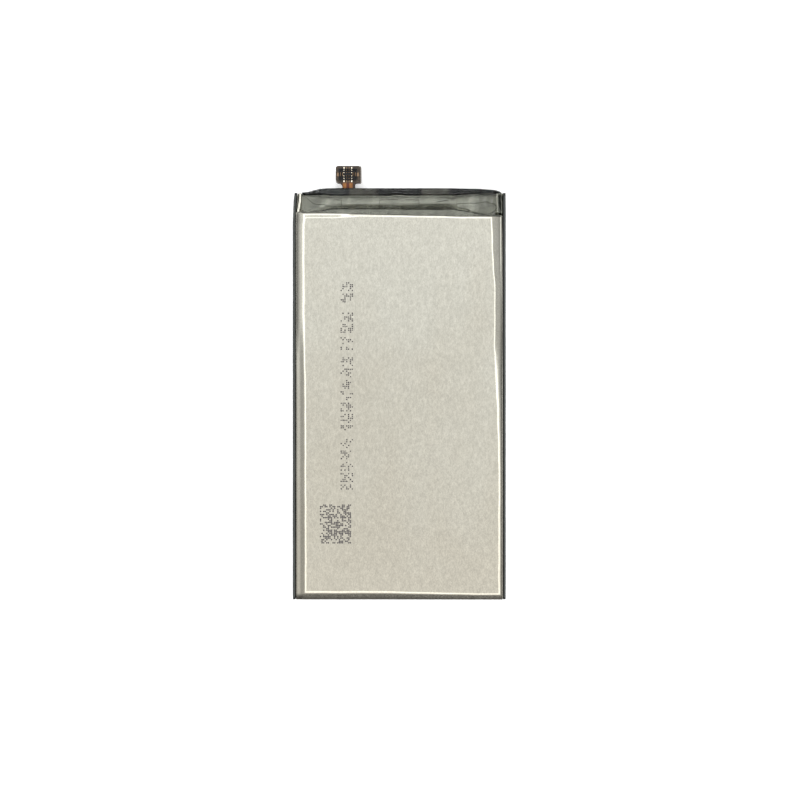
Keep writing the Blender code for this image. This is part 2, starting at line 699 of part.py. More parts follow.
def build_tail(finishes, collection, cutters):
    root_arc = (BOARD_Y[1] + FIT + FLEX_THICK / 2 + FLEX_BEND_R, FLEX_MID_Z + FLEX_BEND_R)
    root_path = [(root_arc[0] - FLEX_BEND_R, 4.25 * MM)]
    root_path += arc(root_arc, FLEX_BEND_R, 180, 270, ARC_STEPS)
    root_path.append((HINGE_Y - HINGE_GAP / 2, FLEX_MID_Z))
    neck = (TAIL_X - NECK_WIDTH / 2, TAIL_X + NECK_WIDTH / 2)
    strip("flex_root", root_path, "X", neck, FLEX_THICK, finishes["flex"], collection)

    hinge = bpy.data.objects.new("flex_hinge", None)
    hinge.location = (TAIL_X, HINGE_Y, FLEX_MID_Z)
    collection.objects.link(hinge)
    bpy.context.view_layer.update()
    stiffener_z = FLEX_MID_Z - FLEX_THICK / 2 - FIT - STIFFENER_THICK / 2
    moving = [
        flat_plate("flex_head", head_outline(0.0), FLEX_MID_Z, FLEX_THICK, finishes["flex"], collection),
        flat_plate("stiffener", stiffener_outline(), stiffener_z, STIFFENER_THICK, finishes["steel"], collection),
        build_housing(finishes["housing"], collection, cutters),
    ]
    for name, centre, direction, width, reach in contact_places():
        moving.append(build_contact(name, centre, direction, width, reach, finishes["gold"], collection))
    for obj in moving:
        obj.parent = hinge
        obj.matrix_parent_inverse = hinge.matrix_world.inverted()


# ---------------------------------------------------------------- the whole cell
def build():
    clear_scene()
    parts = new_collection("pouch_cell")
    cutters = new_collection("cutters")
    finishes = {
        "film": material("laminate_film", (0.62, 0.60, 0.55), 0.35, 0.9),
        "label": material("label_sheet", (0.05, 0.05, 0.055), 0.5),
        "anode": material("anode_coating", (0.04, 0.04, 0.045), 0.8),
        "cathode": material("cathode_coating", (0.09, 0.09, 0.10), 0.75),
        "separator": material("separator_film", (0.85, 0.85, 0.83), 0.6),
        "end_tape": material("green_tape", (0.10, 0.35, 0.18), 0.5),
        "negative": material("nickel_tab", (0.60, 0.58, 0.54), 0.35, 0.9),
        "positive": material("aluminium_tab", (0.75, 0.75, 0.76), 0.35, 0.9),
        "nickel": material("nickel_plate", (0.60, 0.58, 0.54), 0.35, 0.9),
        "sealant": material("tab_sealant", (0.80, 0.80, 0.72), 0.5),
        "board": material("board_laminate", (0.03, 0.14, 0.07), 0.5),
        "chip": material("chip_moulding", (0.02, 0.02, 0.02), 0.6),
        "ceramic": material("chip_ceramic", (0.45, 0.33, 0.22), 0.5),
        "resistor": material("resistor_body", (0.05, 0.05, 0.06), 0.4),
        "wrap": material("wrap_film", (0.03, 0.03, 0.03), 0.35),
        "tape": material("clear_tape", (0.55, 0.55, 0.52), 0.2),
        "flex": material("flex_film", (0.45, 0.18, 0.03), 0.35),
        "steel": material("stiffener_steel", (0.40, 0.38, 0.35), 0.4, 0.9),
        "housing": material("housing_moulding", (0.02, 0.02, 0.02), 0.5),
        "gold": material("contact_plating", (0.80, 0.65, 0.35), 0.25, 0.9),
    }
    build_label(finishes["label"], parts)
    build_pouch(finishes["film"], parts)
    build_roll(finishes, parts)
    build_tabs(finishes, parts)
    build_board(finishes, parts)
    build_wraps(finishes, parts, cutters)
    build_tail(finishes, parts, cutters)


build()
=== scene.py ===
"""Looks of the pouch cell: its drawn film, clear tape, dark wrap, flexible tail, socket and printed dots."""

import json
import math
import random

import bmesh
import bpy
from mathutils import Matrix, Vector


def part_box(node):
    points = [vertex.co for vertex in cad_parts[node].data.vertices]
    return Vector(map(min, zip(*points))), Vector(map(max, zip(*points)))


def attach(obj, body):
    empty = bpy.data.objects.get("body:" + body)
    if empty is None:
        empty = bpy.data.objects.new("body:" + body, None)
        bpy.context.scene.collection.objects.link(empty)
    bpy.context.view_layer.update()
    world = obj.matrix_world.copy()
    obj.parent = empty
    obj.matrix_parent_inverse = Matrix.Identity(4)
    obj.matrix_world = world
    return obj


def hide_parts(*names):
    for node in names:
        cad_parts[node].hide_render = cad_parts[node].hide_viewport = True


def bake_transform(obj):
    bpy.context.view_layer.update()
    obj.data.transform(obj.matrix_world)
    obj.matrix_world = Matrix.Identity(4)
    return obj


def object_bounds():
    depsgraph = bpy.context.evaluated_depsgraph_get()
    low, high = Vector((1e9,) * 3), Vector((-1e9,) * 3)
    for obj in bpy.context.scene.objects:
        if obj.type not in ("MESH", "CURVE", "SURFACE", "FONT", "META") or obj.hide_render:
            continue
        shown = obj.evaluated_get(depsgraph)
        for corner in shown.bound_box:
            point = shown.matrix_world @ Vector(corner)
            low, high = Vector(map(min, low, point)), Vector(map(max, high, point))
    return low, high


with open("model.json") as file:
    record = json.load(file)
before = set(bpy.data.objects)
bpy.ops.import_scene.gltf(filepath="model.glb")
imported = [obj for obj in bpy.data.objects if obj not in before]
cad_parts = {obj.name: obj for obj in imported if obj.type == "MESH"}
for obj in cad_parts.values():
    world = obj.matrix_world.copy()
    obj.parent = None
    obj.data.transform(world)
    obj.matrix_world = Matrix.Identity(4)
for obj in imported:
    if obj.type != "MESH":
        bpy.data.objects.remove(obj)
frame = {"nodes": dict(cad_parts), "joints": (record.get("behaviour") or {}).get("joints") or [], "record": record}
cad_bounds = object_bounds()

MM = 0.001
CELL = "cell"
TAIL = "connector_tail"

# ---- places, from the CAD model
face_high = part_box("pouch_cup_half")[1]
back_low, back_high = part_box("pouch_flat_half")
head_low, head_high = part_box("flex_head")
root_low, root_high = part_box("flex_root")
housing_low, housing_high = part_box("connector_housing")
label_low, label_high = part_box("label_sheet")
stiffener_low, stiffener_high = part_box("stiffener")

FILM = 0.12 * MM
FILM_BUILT = FILM * 0.95  # a little thinner, so that films that lie together don't touch
SEAM = 0.03 * MM
END_Y = back_high.y
START_Y = back_low.y
HALF_WIDTH = back_high.x
FACE_Z = face_high.z - 0.05 * MM  # crests of the face's slight waves stay under the CAD model's top
FLAT_MID_Z = back_low.z + FILM / 2
FLANGE_MID_Z = FLAT_MID_Z + FILM + SEAM


# ---- small helpers
def smooth(value):
    value = min(1.0, max(0.0, value))
    return value * value * (3 - 2 * value)


def mix(a, b, share):
    return a + (b - a) * share


def linear(points, x, ease=float):
    """Value at x on a line through (x, value) points; ease can round it between them."""
    for (x0, v0), (x1, v1) in zip(points, points[1:]):
        if x <= x1:
            return mix(v0, v1, ease(max(0.0, (x - x0) / (x1 - x0))))
    return points[-1][1]


def table(points, place):
    """Value in metres at a place in metres, from a table in millimetres, rounded between its rows."""
    return linear(points, place / MM, smooth) * MM


def waves(seed, lengths, t):
    """A smooth random wobble from -1 to 1: a sum of sines with these wavelengths in millimetres."""
    pick = random.Random(seed)
    total = sum(math.sin(2 * math.pi * (t / MM / length + pick.random())) for length in lengths)
    return total / len(lengths)


def arc(centre, radius, start, end, steps):
    """Points round a centre, from one angle in degrees to another."""
    points = []
    for i in range(steps + 1):
        angle = math.radians(start + (end - start) * i / steps)
        points.append((centre[0] + radius * math.cos(angle), centre[1] + radius * math.sin(angle)))
    return points


def offset_path(points, distance):
    """The path moved to its left by a distance, with its corners mitred."""
    sides = []
    for (x0, z0), (x1, z1) in zip(points, points[1:]):
        length = math.hypot(x1 - x0, z1 - z0)
        sides.append(Vector(((z0 - z1) / length, (x1 - x0) / length)))
    moved = []
    for i, (x, z) in enumerate(points):
        before, after = sides[max(i - 1, 0)], sides[min(i, len(sides) - 1)]
        mitre = (before + after) / (1 + before.dot(after))
        moved.append((x + mitre.x * distance, z + mitre.y * distance))
    return moved


def along(start, end, count):
    """Evenly spaced values, both ends included."""
    return [mix(start, end, i / count) for i in range(count + 1)]


def curve(start, pull, end, count):
    """A line from start to end, drawn towards pull."""
    points = []
    for t in along(0.0, 1.0, count):
        weights = (1 - t) ** 2, 2 * t * (1 - t), t * t
        points.append(tuple(sum(w * v for w, v in zip(weights, values)) for values in zip(start, pull, end)))
    return points


def resample(points, count):
    """The same line with a fixed number of evenly spaced points."""
    lengths = [0.0]
    for (y0, z0), (y1, z1) in zip(points, points[1:]):
        lengths.append(lengths[-1] + math.hypot(y1 - y0, z1 - z0))
    line, index = [], 0
    for wanted in along(0.0, lengths[-1], count):
        while index < len(points) - 2 and lengths[index + 1] < wanted:
            index += 1
        span = lengths[index + 1] - lengths[index]
        share = (wanted - lengths[index]) / span if span else 0.0
        line.append(tuple(mix(a, b, min(1.0, share)) for a, b in zip(points[index], points[index + 1])))
    return line


def distance_to(points, x, y):
    """Distance in metres from a point to a line through points given in millimetres."""
    best = 1.0
    here = Vector((x, y))
    for start, end in zip(points, points[1:]):
        a, b = Vector(start) * MM, Vector(end) * MM
        share = min(1.0, max(0.0, (here - a).dot(b - a) / (b - a).length_squared))
        best = min(best, (here - a.lerp(b, share)).length)
    return best


def spaced(points, step=0.12):
    """Closer points along a line given in millimetres."""
    line = []
    for (x0, y0), (x1, y1) in zip(points, points[1:]):
        count = max(1, round(math.hypot(x1 - x0, y1 - y0) / step))
        line += [(mix(x0, x1, t), mix(y0, y1, t)) for t in along(0.0, 1.0, count)[:-1]]
    return line + [points[-1]]


# The corners of a rectangle, counterclockwise: side in X and in Y, and the angle where its arc starts.
CORNERS = ((1, 1, 0), (-1, 1, 90), (-1, -1, 180), (1, -1, 270))


def object_from(bm, name):
    mesh = bpy.data.meshes.new(name)
    bm.to_mesh(mesh)
    bm.free()
    obj = bpy.data.objects.new(name, mesh)
    bpy.context.scene.collection.objects.link(obj)
    return obj


def piece_from(bm, name, finish, body, replaced=()):
    """Makes the mesh a smooth-shaded piece of the object, in place of these CAD nodes."""
    bmesh.ops.recalc_face_normals(bm, faces=bm.faces)
    obj = object_from(bm, name)
    obj.data.shade_smooth()
    obj.data.materials.append(MATERIALS[finish])
    if body:
        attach(obj, body)
    if replaced:
        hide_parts(*replaced)
    return obj


def sheet_mesh(rows):
    """A film through rows of points."""
    bm = bmesh.new()
    made = [[bm.verts.new(p) for p in row] for row in rows]
    for low, high in zip(made, made[1:]):
        for i in range(len(low) - 1):
            bm.faces.new((low[i], low[i + 1], high[i + 1], high[i]))
    return bm


def closed_rings(bm, rings):
    """Adds a closed skin through rings of points, with a face over the first and the last."""
    made = [[bm.verts.new(p) for p in ring] for ring in rings]
    for low, high in zip(made, made[1:]):
        for i in range(len(low)):
            j = (i + 1) % len(low)
            bm.faces.new((low[i], low[j], high[j], high[i]))
    bm.faces.new(made[0])
    bm.faces.new(made[-1])


def tube(bm, points, radius, sides=6):
    """Adds a thin closed tube through points, tapered at both ends."""
    rings = []
    for i, point in enumerate(points):
        ahead = (points[min(i + 1, len(points) - 1)] - points[max(i - 1, 0)]).normalized()
        across = ahead.cross(Vector((0, 0, 1))).normalized()
        up = across.cross(ahead)
        size = radius * (0.35 if i in (0, len(points) - 1) else 1.0)
        turns = [2 * math.pi * step / sides for step in range(sides)]
        rings.append([point + (across * math.cos(turn) + up * math.sin(turn)) * size for turn in turns])
    closed_rings(bm, rings)


def round_outline(low, high, inset, radii, steps):
    """Points (x, y) inside a box by an inset, with corners of these radii, in the order of CORNERS."""
    outline = []
    for (sx, sy, start), radius in zip(CORNERS, radii):
        back = inset + radius
        centre = (high.x if sx > 0 else low.x) - sx * back, (high.y if sy > 0 else low.y) - sy * back
        outline += arc(centre, radius, start, start + 90, steps)
    return outline


def plate_mesh(low, high, inset, radii, steps):
    """A flat plate as high as a box, with its outline inside it."""
    bm = bmesh.new()
    outline = round_outline(low, high, inset, radii, steps)
    face = bm.faces.new([bm.verts.new((x, y, low.z)) for x, y in outline])
    raised = bmesh.ops.extrude_face_region(bm, geom=[face])["geom"]
    top = [g for g in raised if isinstance(g, bmesh.types.BMVert)]
    bmesh.ops.translate(bm, verts=top, vec=(0, 0, high.z - low.z))
    return bm


def thicken(obj, thickness):
    """Makes a film of its middle surface."""
    modifier = obj.modifiers.new("thickness", "SOLIDIFY")
    modifier.thickness = thickness
    modifier.offset = 0.0


def soften(obj, width, segments=1):
    """Bevels the sharp edges."""
    modifier = obj.modifiers.new("edges", "BEVEL")
    modifier.width = width
    modifier.segments = segments
    modifier.limit_method = "ANGLE"
    modifier.angle_limit = math.radians(35)


def apply_modifiers(piece):
    """Puts the evaluated mesh in place of the piece's mesh and its modifiers."""
    bpy.context.view_layer.update()
    evaluated = piece.evaluated_get(bpy.context.evaluated_depsgraph_get())
    mesh = bpy.data.meshes.new_from_object(evaluated)
    piece.modifiers.clear()
    piece.data = mesh
    piece.data.shade_smooth()


# ---- materials
def greys(stops):
    return [(position, (level,) * 3) for position, level in stops]


def toned(colour, share):
    return tuple(min(1.0, c * share) for c in colour)


def placed(stops, low, high):
    """The stops with their positions as shares of the way from low to high."""
    return [((position - low) / (high - low), value) for position, value in stops]


class Nodes:
    """Short calls for building the nodes of a material or a world, its owner."""

    def __init__(self, owner, shader="Principled BSDF"):
        owner.use_nodes = True
        self.owner = owner
        self.tree = owner.node_tree
        self.shader = self.tree.nodes[shader]
        self.coordinates = self.tree.nodes.new("ShaderNodeTexCoord").outputs

    def set(self, name, value):
        """One value for the whole surface."""
        self.shader.inputs[name].default_value = value

    def link(self, out, into):
        self.tree.links.new(out, into)

    def stretched(self, scale):
        """Object coordinates in millimetres, stretched by scale."""
        node = self.tree.nodes.new("ShaderNodeMapping")
        node.inputs["Scale"].default_value = tuple(s / MM for s in scale)
        self.link(self.coordinates["Object"], node.inputs["Vector"])
        return node.outputs["Vector"]

    def noise(self, scale, size=(1, 1, 1), detail=3.0):
        """Noise with this many features per millimetre, stretched by size."""
        node = self.tree.nodes.new("ShaderNodeTexNoise")
        node.inputs["Scale"].default_value = scale
        node.inputs["Detail"].default_value = detail
        self.link(self.stretched(size), node.inputs["Vector"])
        return node.outputs["Fac"]

    def ramp(self, value, stops):
        """Colours by value; a stop is (position, (r, g, b))."""
        node = self.tree.nodes.new("ShaderNodeValToRGB")
        elements = node.color_ramp.elements
        while len(elements) < len(stops):
            elements.new(0.5)
        for element, (position, colour) in zip(elements, stops):
            element.position = position
            element.color = (*colour, 1.0)
        self.link(value, node.inputs["Fac"])
        return node.outputs["Color"]

    def span(self, value, low, high, from_low=0.3, from_high=0.7):
        """The value, taken from its own range to the range from low to high."""
        node = self.tree.nodes.new("ShaderNodeMapRange")
        ends = {"From Min": from_low, "From Max": from_high, "To Min": low, "To Max": high}
        for name, number in ends.items():
            node.inputs[name].default_value = number
        self.link(value, node.inputs["Value"])
        return node.outputs["Result"]

    def share(self, value, low, high):
        """How far the value is from low to high, from 0 to 1."""
        return self.span(value, 0.0, 1.0, low, high)

    def part(self, vector, which):
        node = self.tree.nodes.new("ShaderNodeSeparateXYZ")
        self.link(vector, node.inputs["Vector"])
        return node.outputs[which]

    def axis(self, which):
        """One object coordinate in millimetres."""
        return self.part(self.stretched((1, 1, 1)), which)

    def math(self, operation, a, b):
        node = self.tree.nodes.new("ShaderNodeMath")
        node.operation = operation
        for socket, value in zip(node.inputs, (a, b)):
            if isinstance(value, float):
                socket.default_value = value
            else:
                self.link(value, socket)
        return node.outputs["Value"]

    def multiply(self, a, b):
        """Product of two colours."""
        node = self.tree.nodes.new("ShaderNodeVectorMath")
        node.operation = "MULTIPLY"
        self.link(a, node.inputs[0])
        self.link(b, node.inputs[1])
        return node.outputs["Vector"]

    def colour(self, value):
        self.link(value, self.shader.inputs["Base Color"])

    def roughness(self, value):
        self.link(value, self.shader.inputs["Roughness"])

    def bump(self, height, depth):
        """Raises the surface by height times depth, in metres."""
        node = self.tree.nodes.new("ShaderNodeBump")
        node.inputs["Distance"].default_value = depth
        self.link(height, node.inputs["Height"])
        self.link(node.outputs["Normal"], self.shader.inputs["Normal"])


def new_material(name, colour, roughness, metallic=0.0, gloss=0.5):
    n = Nodes(bpy.data.materials.new(name))
    n.set("Base Color", (*colour, 1.0))
    n.set("Roughness", roughness)
    n.set("Metallic", metallic)
    n.set("Specular IOR Level", gloss)
    return n


def laminate(name, top, bottom, roughness):
    """Nylon-faced aluminium foil with painted light and shade: painted warmer and darker towards the bottom end,
    and painted shade that darkens the drawn walls and the bottom end.
    """
    n = new_material(name, top, roughness, 1.0)
    grain = n.noise(4.5, (1.0, 0.55, 1.0), 2.0)
    cloud = n.noise(0.09, (1.0, 0.6, 1.0), 2.0)
    place = n.math("ADD", n.share(n.axis("Y"), -42.0, 42.0), n.span(cloud, -0.18, 0.18))
    # Painted light: the colour runs from the bottom colour to the lighter, cooler top colour along the cell, with
    # a random cloud in it.
    tone = n.ramp(place, [(0.12, bottom), (0.88, top)])
    speckle = n.ramp(grain, greys([(0.36, 0.935), (0.64, 1.065)]))
    # Painted shade on the drawn walls: the colour is darkened where the film is partway down, but not at the top
    # end.
    top_end = n.share(n.axis("Y"), 36.4, 37.2)
    height = n.math("MAXIMUM", n.share(n.axis("Z"), 0.0, FACE_Z / MM), top_end)
    wall_shade = n.ramp(height, greys([(0.09, 1.0), (0.22, 0.62), (0.83, 0.62), (0.94, 1.0)]))
    # Painted shade: the colour is darker towards the outer part of the bottom end.
    bottom_end_shade = n.ramp(n.share(n.axis("Y"), -41.5, -40.6), greys([(0.0, 0.55), (1.0, 1.0)]))
    n.colour(n.multiply(n.multiply(tone, speckle), n.multiply(wall_shade, bottom_end_shade)))
    n.roughness(n.span(n.noise(2.2, (1, 0.5, 1)), roughness - 0.03, roughness + 0.04))
    n.bump(n.noise(6.0, (1, 0.6, 1), 2.0), 0.001 * MM)
    return n.owner


# Painted shade on the clear tape across the cell: its crumpled ends are painted greyer. Place in millimetres, and
# tone.
TAPE_END_SHADE = [(-17.2, 0.8), (-15.4, 1.0), (14.8, 1.0), (17, 0.78)]


def clear_film(name, tint, roughness):
    """Thin clear tape, slightly grey, with soft ripples where it isn't stuck down."""
    n = new_material(name, tint, roughness)
    n.set("Transmission Weight", 1.0)
    n.set("IOR", 1.22)
    haze = n.noise(0.45)
    shade = n.ramp(n.share(n.axis("X"), -21.0, 21.0), greys(placed(TAPE_END_SHADE, -21.0, 21.0)))
    n.colour(n.multiply(n.ramp(haze, [(0.36, toned(tint, 0.86)), (0.62, tint)]), shade))
    n.roughness(n.span(haze, roughness, roughness + 0.06))
    n.bump(n.noise(0.8, (1.0, 1.8, 1.0), 2.0), 0.008 * MM)
    return n.owner


def plastic(name, colour, roughness, grain, spread=0.25, gloss=0.5):
    """Moulded or coated plastic with a fine texture and slight tone changes."""
    n = new_material(name, colour, roughness, gloss=gloss)
    tone = n.noise(grain * 0.25, detail=2.0)
    n.colour(n.ramp(tone, [(0.3, toned(colour, 1 - spread)), (0.7, toned(colour, 1 + spread))]))
    n.roughness(n.span(tone, roughness - 0.06, roughness + 0.08))
    n.bump(n.noise(grain, detail=2.0), 0.002 * MM)
    return n.owner


def metal(name, colour, roughness, stretch=(1, 0.15, 1), spread=0.15):
    """Rolled or plated metal with a directional grain."""
    n = new_material(name, colour, roughness, 1.0)
    grain = n.noise(14.0, stretch, 3.0)
    n.colour(n.ramp(grain, [(0.32, toned(colour, 1 - spread)), (0.66, colour)]))
    n.roughness(n.span(grain, roughness - 0.05, roughness + 0.08))
    n.bump(grain, 0.001 * MM)
    return n.owner


def wrap_film(name):
    """Dark insulating wrap: black where it lies tight, brown-grey where air lifts it off the board."""
    n = new_material(name, (0.02, 0.02, 0.02), 0.3, gloss=0.25)
    waver = n.math("MULTIPLY", n.math("SUBTRACT", n.noise(0.9, detail=2.0), 0.5), 1.2)
    place = n.share(n.math("ADD", n.axis("X"), waver), -20.0, 20.0)
    black, brown, grey = (0.003, 0.003, 0.0035), (0.066, 0.06, 0.05), (0.03, 0.032, 0.032)
    # Where along the wrap each tone starts and ends, in millimetres across the cell.
    tones = [(-19, grey), (-12, grey), (-11, black), (-10.4, black), (-10, brown), (-5.8, brown)]
    tones += [(-4, black), (4.4, black), (4.8, brown), (9.9, brown), (10.2, black), (15.8, black)]
    tones += [(17.5, grey)]
    n.colour(n.ramp(place, placed(tones, -20.0, 20.0)))
    n.roughness(n.span(n.noise(0.8), 0.25, 0.42))
    n.bump(n.noise(1.2, (1.0, 0.6, 0.6), 2.0), 0.004 * MM)
    return n.owner


def flex_film(name):
    """Amber polyimide over copper tracks that run along the tail, under dark solder mask on the head."""
    n = new_material(name, (0.25, 0.08, 0.02), 0.35, gloss=0.3)
    centre, half_width = (head_low.x + head_high.x) / 2 / MM, 1.33
    place = n.share(n.axis("X"), centre - half_width, centre + half_width)
    amber, red, light = (0.22, 0.08, 0.012), (0.085, 0.014, 0.005), (0.3, 0.115, 0.02)
    edge = (0.03, 0.014, 0.006)
    stops = [(0.0, edge), (0.07, amber), (0.28, light), (0.34, red), (0.52, red), (0.58, light)]
    tracks = n.ramp(place, stops + [(0.76, amber), (0.84, edge)])
    mask = n.ramp(n.noise(2.6, detail=2.0), [(0.3, (0.018, 0.012, 0.007)), (0.7, (0.07, 0.05, 0.032))])
    chooser = n.tree.nodes.new("ShaderNodeMix")
    chooser.data_type = "RGBA"
    mask_start = head_low.y / MM + 0.45
    n.link(n.share(n.axis("Y"), mask_start, mask_start + 0.5), chooser.inputs["Factor"])
    n.link(tracks, chooser.inputs["A"])
    n.link(mask, chooser.inputs["B"])
    n.colour(chooser.outputs["Result"])
    n.bump(n.noise(3.0, (2.0, 0.2, 1.0), 2.0), 0.01 * MM)
    return n.owner


MATERIALS = {
    "laminate": laminate("drawn_laminate", (0.49, 0.48, 0.42), (0.436, 0.412, 0.345), 0.22),
    # The folded half's dark colour is painted: painted shade standing for the dark reflections on the side seals.
    "laminate_back": metal("folded_laminate", (0.066, 0.071, 0.069), 0.38, (1, 0.2, 1), 0.25),
    "label": plastic("label_paper", (0.03, 0.031, 0.034), 0.5, 9.0),
    "clear_tape": clear_film("clear_end_tape", (0.78, 0.8, 0.785), 0.05),
    "wrap": wrap_film("dark_wrap"),
    "flex": flex_film("amber_flex"),
    "stiffener": metal("stiffener_plate", (0.125, 0.112, 0.102), 0.42),
    "housing": plastic("socket_moulding", (0.006, 0.006, 0.007), 0.38, 12.0, gloss=0.2),
    "contact_gold": metal("contact_plating", (0.9, 0.82, 0.66), 0.16, (1, 1, 1), 0.06),
    "contact_bronze": metal("darker_contact_plating", (0.2, 0.135, 0.085), 0.35, (1, 1, 1), 0.2),
    "ink": plastic("marking_ink", (0.03, 0.024, 0.028), 0.6, 10.0),
    # Painted shade: dark lines along the tape's creases and edges, and dark specks under it.
    "crease": plastic("tape_crease_shade", (0.03, 0.03, 0.022), 0.5, 8.0, gloss=0.2),
    # Painted shade: dark lines along the sealant's edges on the top seal.
    "seal_shade": plastic("seal_shade_line", (0.1, 0.085, 0.065), 0.5, 8.0, gloss=0.2),
    "anode": plastic("graphite_coat", (0.03, 0.03, 0.034), 0.75, 12.0),
    "cathode": plastic("oxide_coat", (0.07, 0.072, 0.08), 0.7, 12.0),
    "separator": plastic("separator_sheet", (0.8, 0.8, 0.78), 0.55, 5.0, spread=0.05),
    "winding_tape": plastic("winding_tape", (0.05, 0.24, 0.1), 0.4, 5.0),
    "nickel": metal("nickel_strip", (0.62, 0.59, 0.54), 0.3),
    "tab_aluminium": metal("aluminium_strip", (0.8, 0.8, 0.81), 0.32),
    "sealant": plastic("sealant_film", (0.7, 0.7, 0.62), 0.45, 5.0, spread=0.08),
    "board": plastic("board_mask", (0.012, 0.07, 0.03), 0.35, 7.0),
    "chip": plastic("chip_moulding", (0.018, 0.018, 0.019), 0.55, 14.0),
    "chip_ceramic": plastic("chip_ceramic", (0.36, 0.25, 0.15), 0.45, 9.0),
    "resistor": plastic("resistor_glaze", (0.03, 0.03, 0.036), 0.3, 9.0),
}


def finish_cad_nodes():
    """Every CAD node that keeps its shape gets the material of its record slot."""
    slots = {row["node"]: row["material_slot"] for row in frame["record"]["subparts"]}
    for name, obj in frame["nodes"].items():
        obj.data.materials.clear()
        obj.data.materials.append(MATERIALS[slots[name]])


# ---- folded side seals
FLAP_CORNER_R = 0.35 * MM
FLAP_LEAN_Z = 3.92 * MM
FLAP_LEAN = math.radians(41.5)
FLAP_LEAN_LENGTH = 0.12 * MM
FLAP_TURN_R = 0.225 * MM
FLAP_END_Z = 2.2 * MM
FLAP_BEND = 0.1 * MM
# How far the left side seal leans inward near the top end: place along the cell and shift, in millimetres.
LEFT_FLAP_SHIFT = [(35.5, 0.0), (38, 0.09), (40, 0.17), (41.5, 0.36)]


def flap_path(inside, sign, y):
    """One film of a side seal at y, from the flange: up the side, turned over at the top and back down."""
    wobble = 0.012 * MM * waves(31 + sign, (17, 9, 31), y)
    lean_z = FLAP_LEAN_Z + 0.06 * MM * waves(37 + sign, (23, 13), y)
    outer = HALF_WIDTH - FILM / 2 - 0.016 * MM + wobble
    if sign < 0:
        outer -= table(LEFT_FLAP_SHIFT, y)
    upward = Vector((-math.cos(FLAP_LEAN), math.sin(FLAP_LEAN)))
    inward = Vector((-math.sin(FLAP_LEAN), -math.cos(FLAP_LEAN)))
    middle = Vector((outer, lean_z))
    turn = middle + upward * FLAP_LEAN_LENGTH + inward * FLAP_TURN_R
    back = turn + inward * FLAP_TURN_R
    upright = outer - 2 * FLAP_TURN_R
    path = arc((outer - FLAP_CORNER_R, FLAT_MID_Z + FLAP_CORNER_R), FLAP_CORNER_R, -90, 0, 6)
    path += curve(middle - Vector((0, FLAP_BEND)), middle, middle + upward * FLAP_BEND, 4)
    path += arc(turn, FLAP_TURN_R, 90 - math.degrees(FLAP_LEAN), 270 - math.degrees(FLAP_LEAN), 10)
    path.append((upright, back.y - (back.x - upright) * math.tan(FLAP_LEAN)))
    path.append((upright, FLAP_END_Z))
    return [(sign * x, z) for x, z in offset_path(path, inside)]


def build_back_half():
    """Flat film of the pouch, with both of its turned-up side seals."""
    rows = []
    for y in along(START_Y + FILM / 2, END_Y - FILM / 2, 104):
        left, right = flap_path(0.0, -1, y), flap_path(0.0, 1, y)
        floor = [(x, FLAT_MID_Z) for x in along(left[0][0], right[0][0], 24)[1:-1]]
        rows.append([(x, y, z) for x, z in left[::-1] + floor + right])
    bm = sheet_mesh(rows)
    piece = piece_from(bm, "laminate_back_half", "laminate_back", CELL, ["pouch_flat_half"])
    thicken(piece, FILM_BUILT)


# ---- drawn half
WALL_X = 21.07 * MM
WALL_START_Y = START_Y + FILM / 2
WALL_LEAN = 0.02 * MM
DEPTH = FACE_Z - FILM / 2 - FLANGE_MID_Z
# Edges of the face along the cell, in millimetres: (place along the cell, place across it).
LEFT_EDGE = [
    (-40, -18.86), (-22, -18.92), (-8, -18.94), (2, -19.02), (12, -19.18), (19, -19.27), (35, -19.27),
    (36.4, -19.05),
]
RIGHT_EDGE = [
    (-40, 20.15), (-22, 20.18), (-12, 20.13), (-3, 19.86), (5, 19.5), (8, 19.38), (10.2, 19.22),
    (12.5, 19.36), (17, 19.38), (22.5, 19.36), (27, 19.05), (30.5, 18.85), (36, 18.63),
]
# Tilt of the drawn shoulder in degrees against the share of its run, from the face's edge to the wall.
LEFT_TOP = [
    (0, 0), (0.03, 4), (0.1, 12), (0.2, 15), (0.29, 21), (0.5, 23), (0.62, 25), (0.74, 30), (0.86, 35),
    (1, 40),
]
LEFT_LOW = [
    (0, 0), (0.02, 3), (0.06, 12), (0.12, 15), (0.17, 23), (0.27, 29), (0.5, 28), (0.66, 21), (0.88, 20),
    (1, 36),
]
RIGHT_START = [(0, 0), (0.04, 12), (0.09, 15), (0.14, 26), (0.3, 27)]
RIGHT_TOP = RIGHT_START + [(0.64, 25), (0.74, 31), (0.82, 14), (0.87, 15), (0.93, 31), (1, 40)]
RIGHT_MIDDLE = RIGHT_START + [(0.64, 26), (0.82, 31), (0.9, 34), (1, 40)]
RIGHT_LOW = [(0, 0), (0.14, 10), (0.3, 15), (0.45, 22), (0.7, 33), (0.85, 39), (1, 41)]
BOTTOM = [(0, 0), (0.05, 8), (0.1, 12), (0.18, 15), (0.27, 26), (0.38, 35), (0.5, 40), (1, 41)]
SHOULDER_STEPS = 26
# Heights of the points down a wall, as shares of what is left of the depth below the shoulder.
WALL_SHARES = (0.06, 0.2, 0.5, 0.85, 1.0)


def fall(tilts, unit, run, steps):
    """Distances out and drops down over a run, where tilts holds (place in units, degrees)."""
    outline, drop = [(0.0, 0.0)], 0.0
    for i in range(steps):
        drop += math.tan(math.radians(linear(tilts, (i + 0.5) * run / steps / unit))) * run / steps
        outline.append((run * (i + 1) / steps, drop))
    return outline


def shoulder(tilts, run):
    """Distances out from the face's edge and drops below the face, over a shoulder and down its wall."""
    outline = fall(tilts, run, run, SHOULDER_STEPS)
    drop = outline[-1][1]
    for share in WALL_SHARES:
        outline.append((run + WALL_LEAN * share, mix(drop, DEPTH, share)))
    return outline


def blend_tilts(first, second, share):
    """Tilts partway from one shoulder shape to the other."""
    places = sorted({p for p, _ in first} | {p for p, _ in second})
    return [(p, mix(linear(first, p), linear(second, p), share)) for p in places]


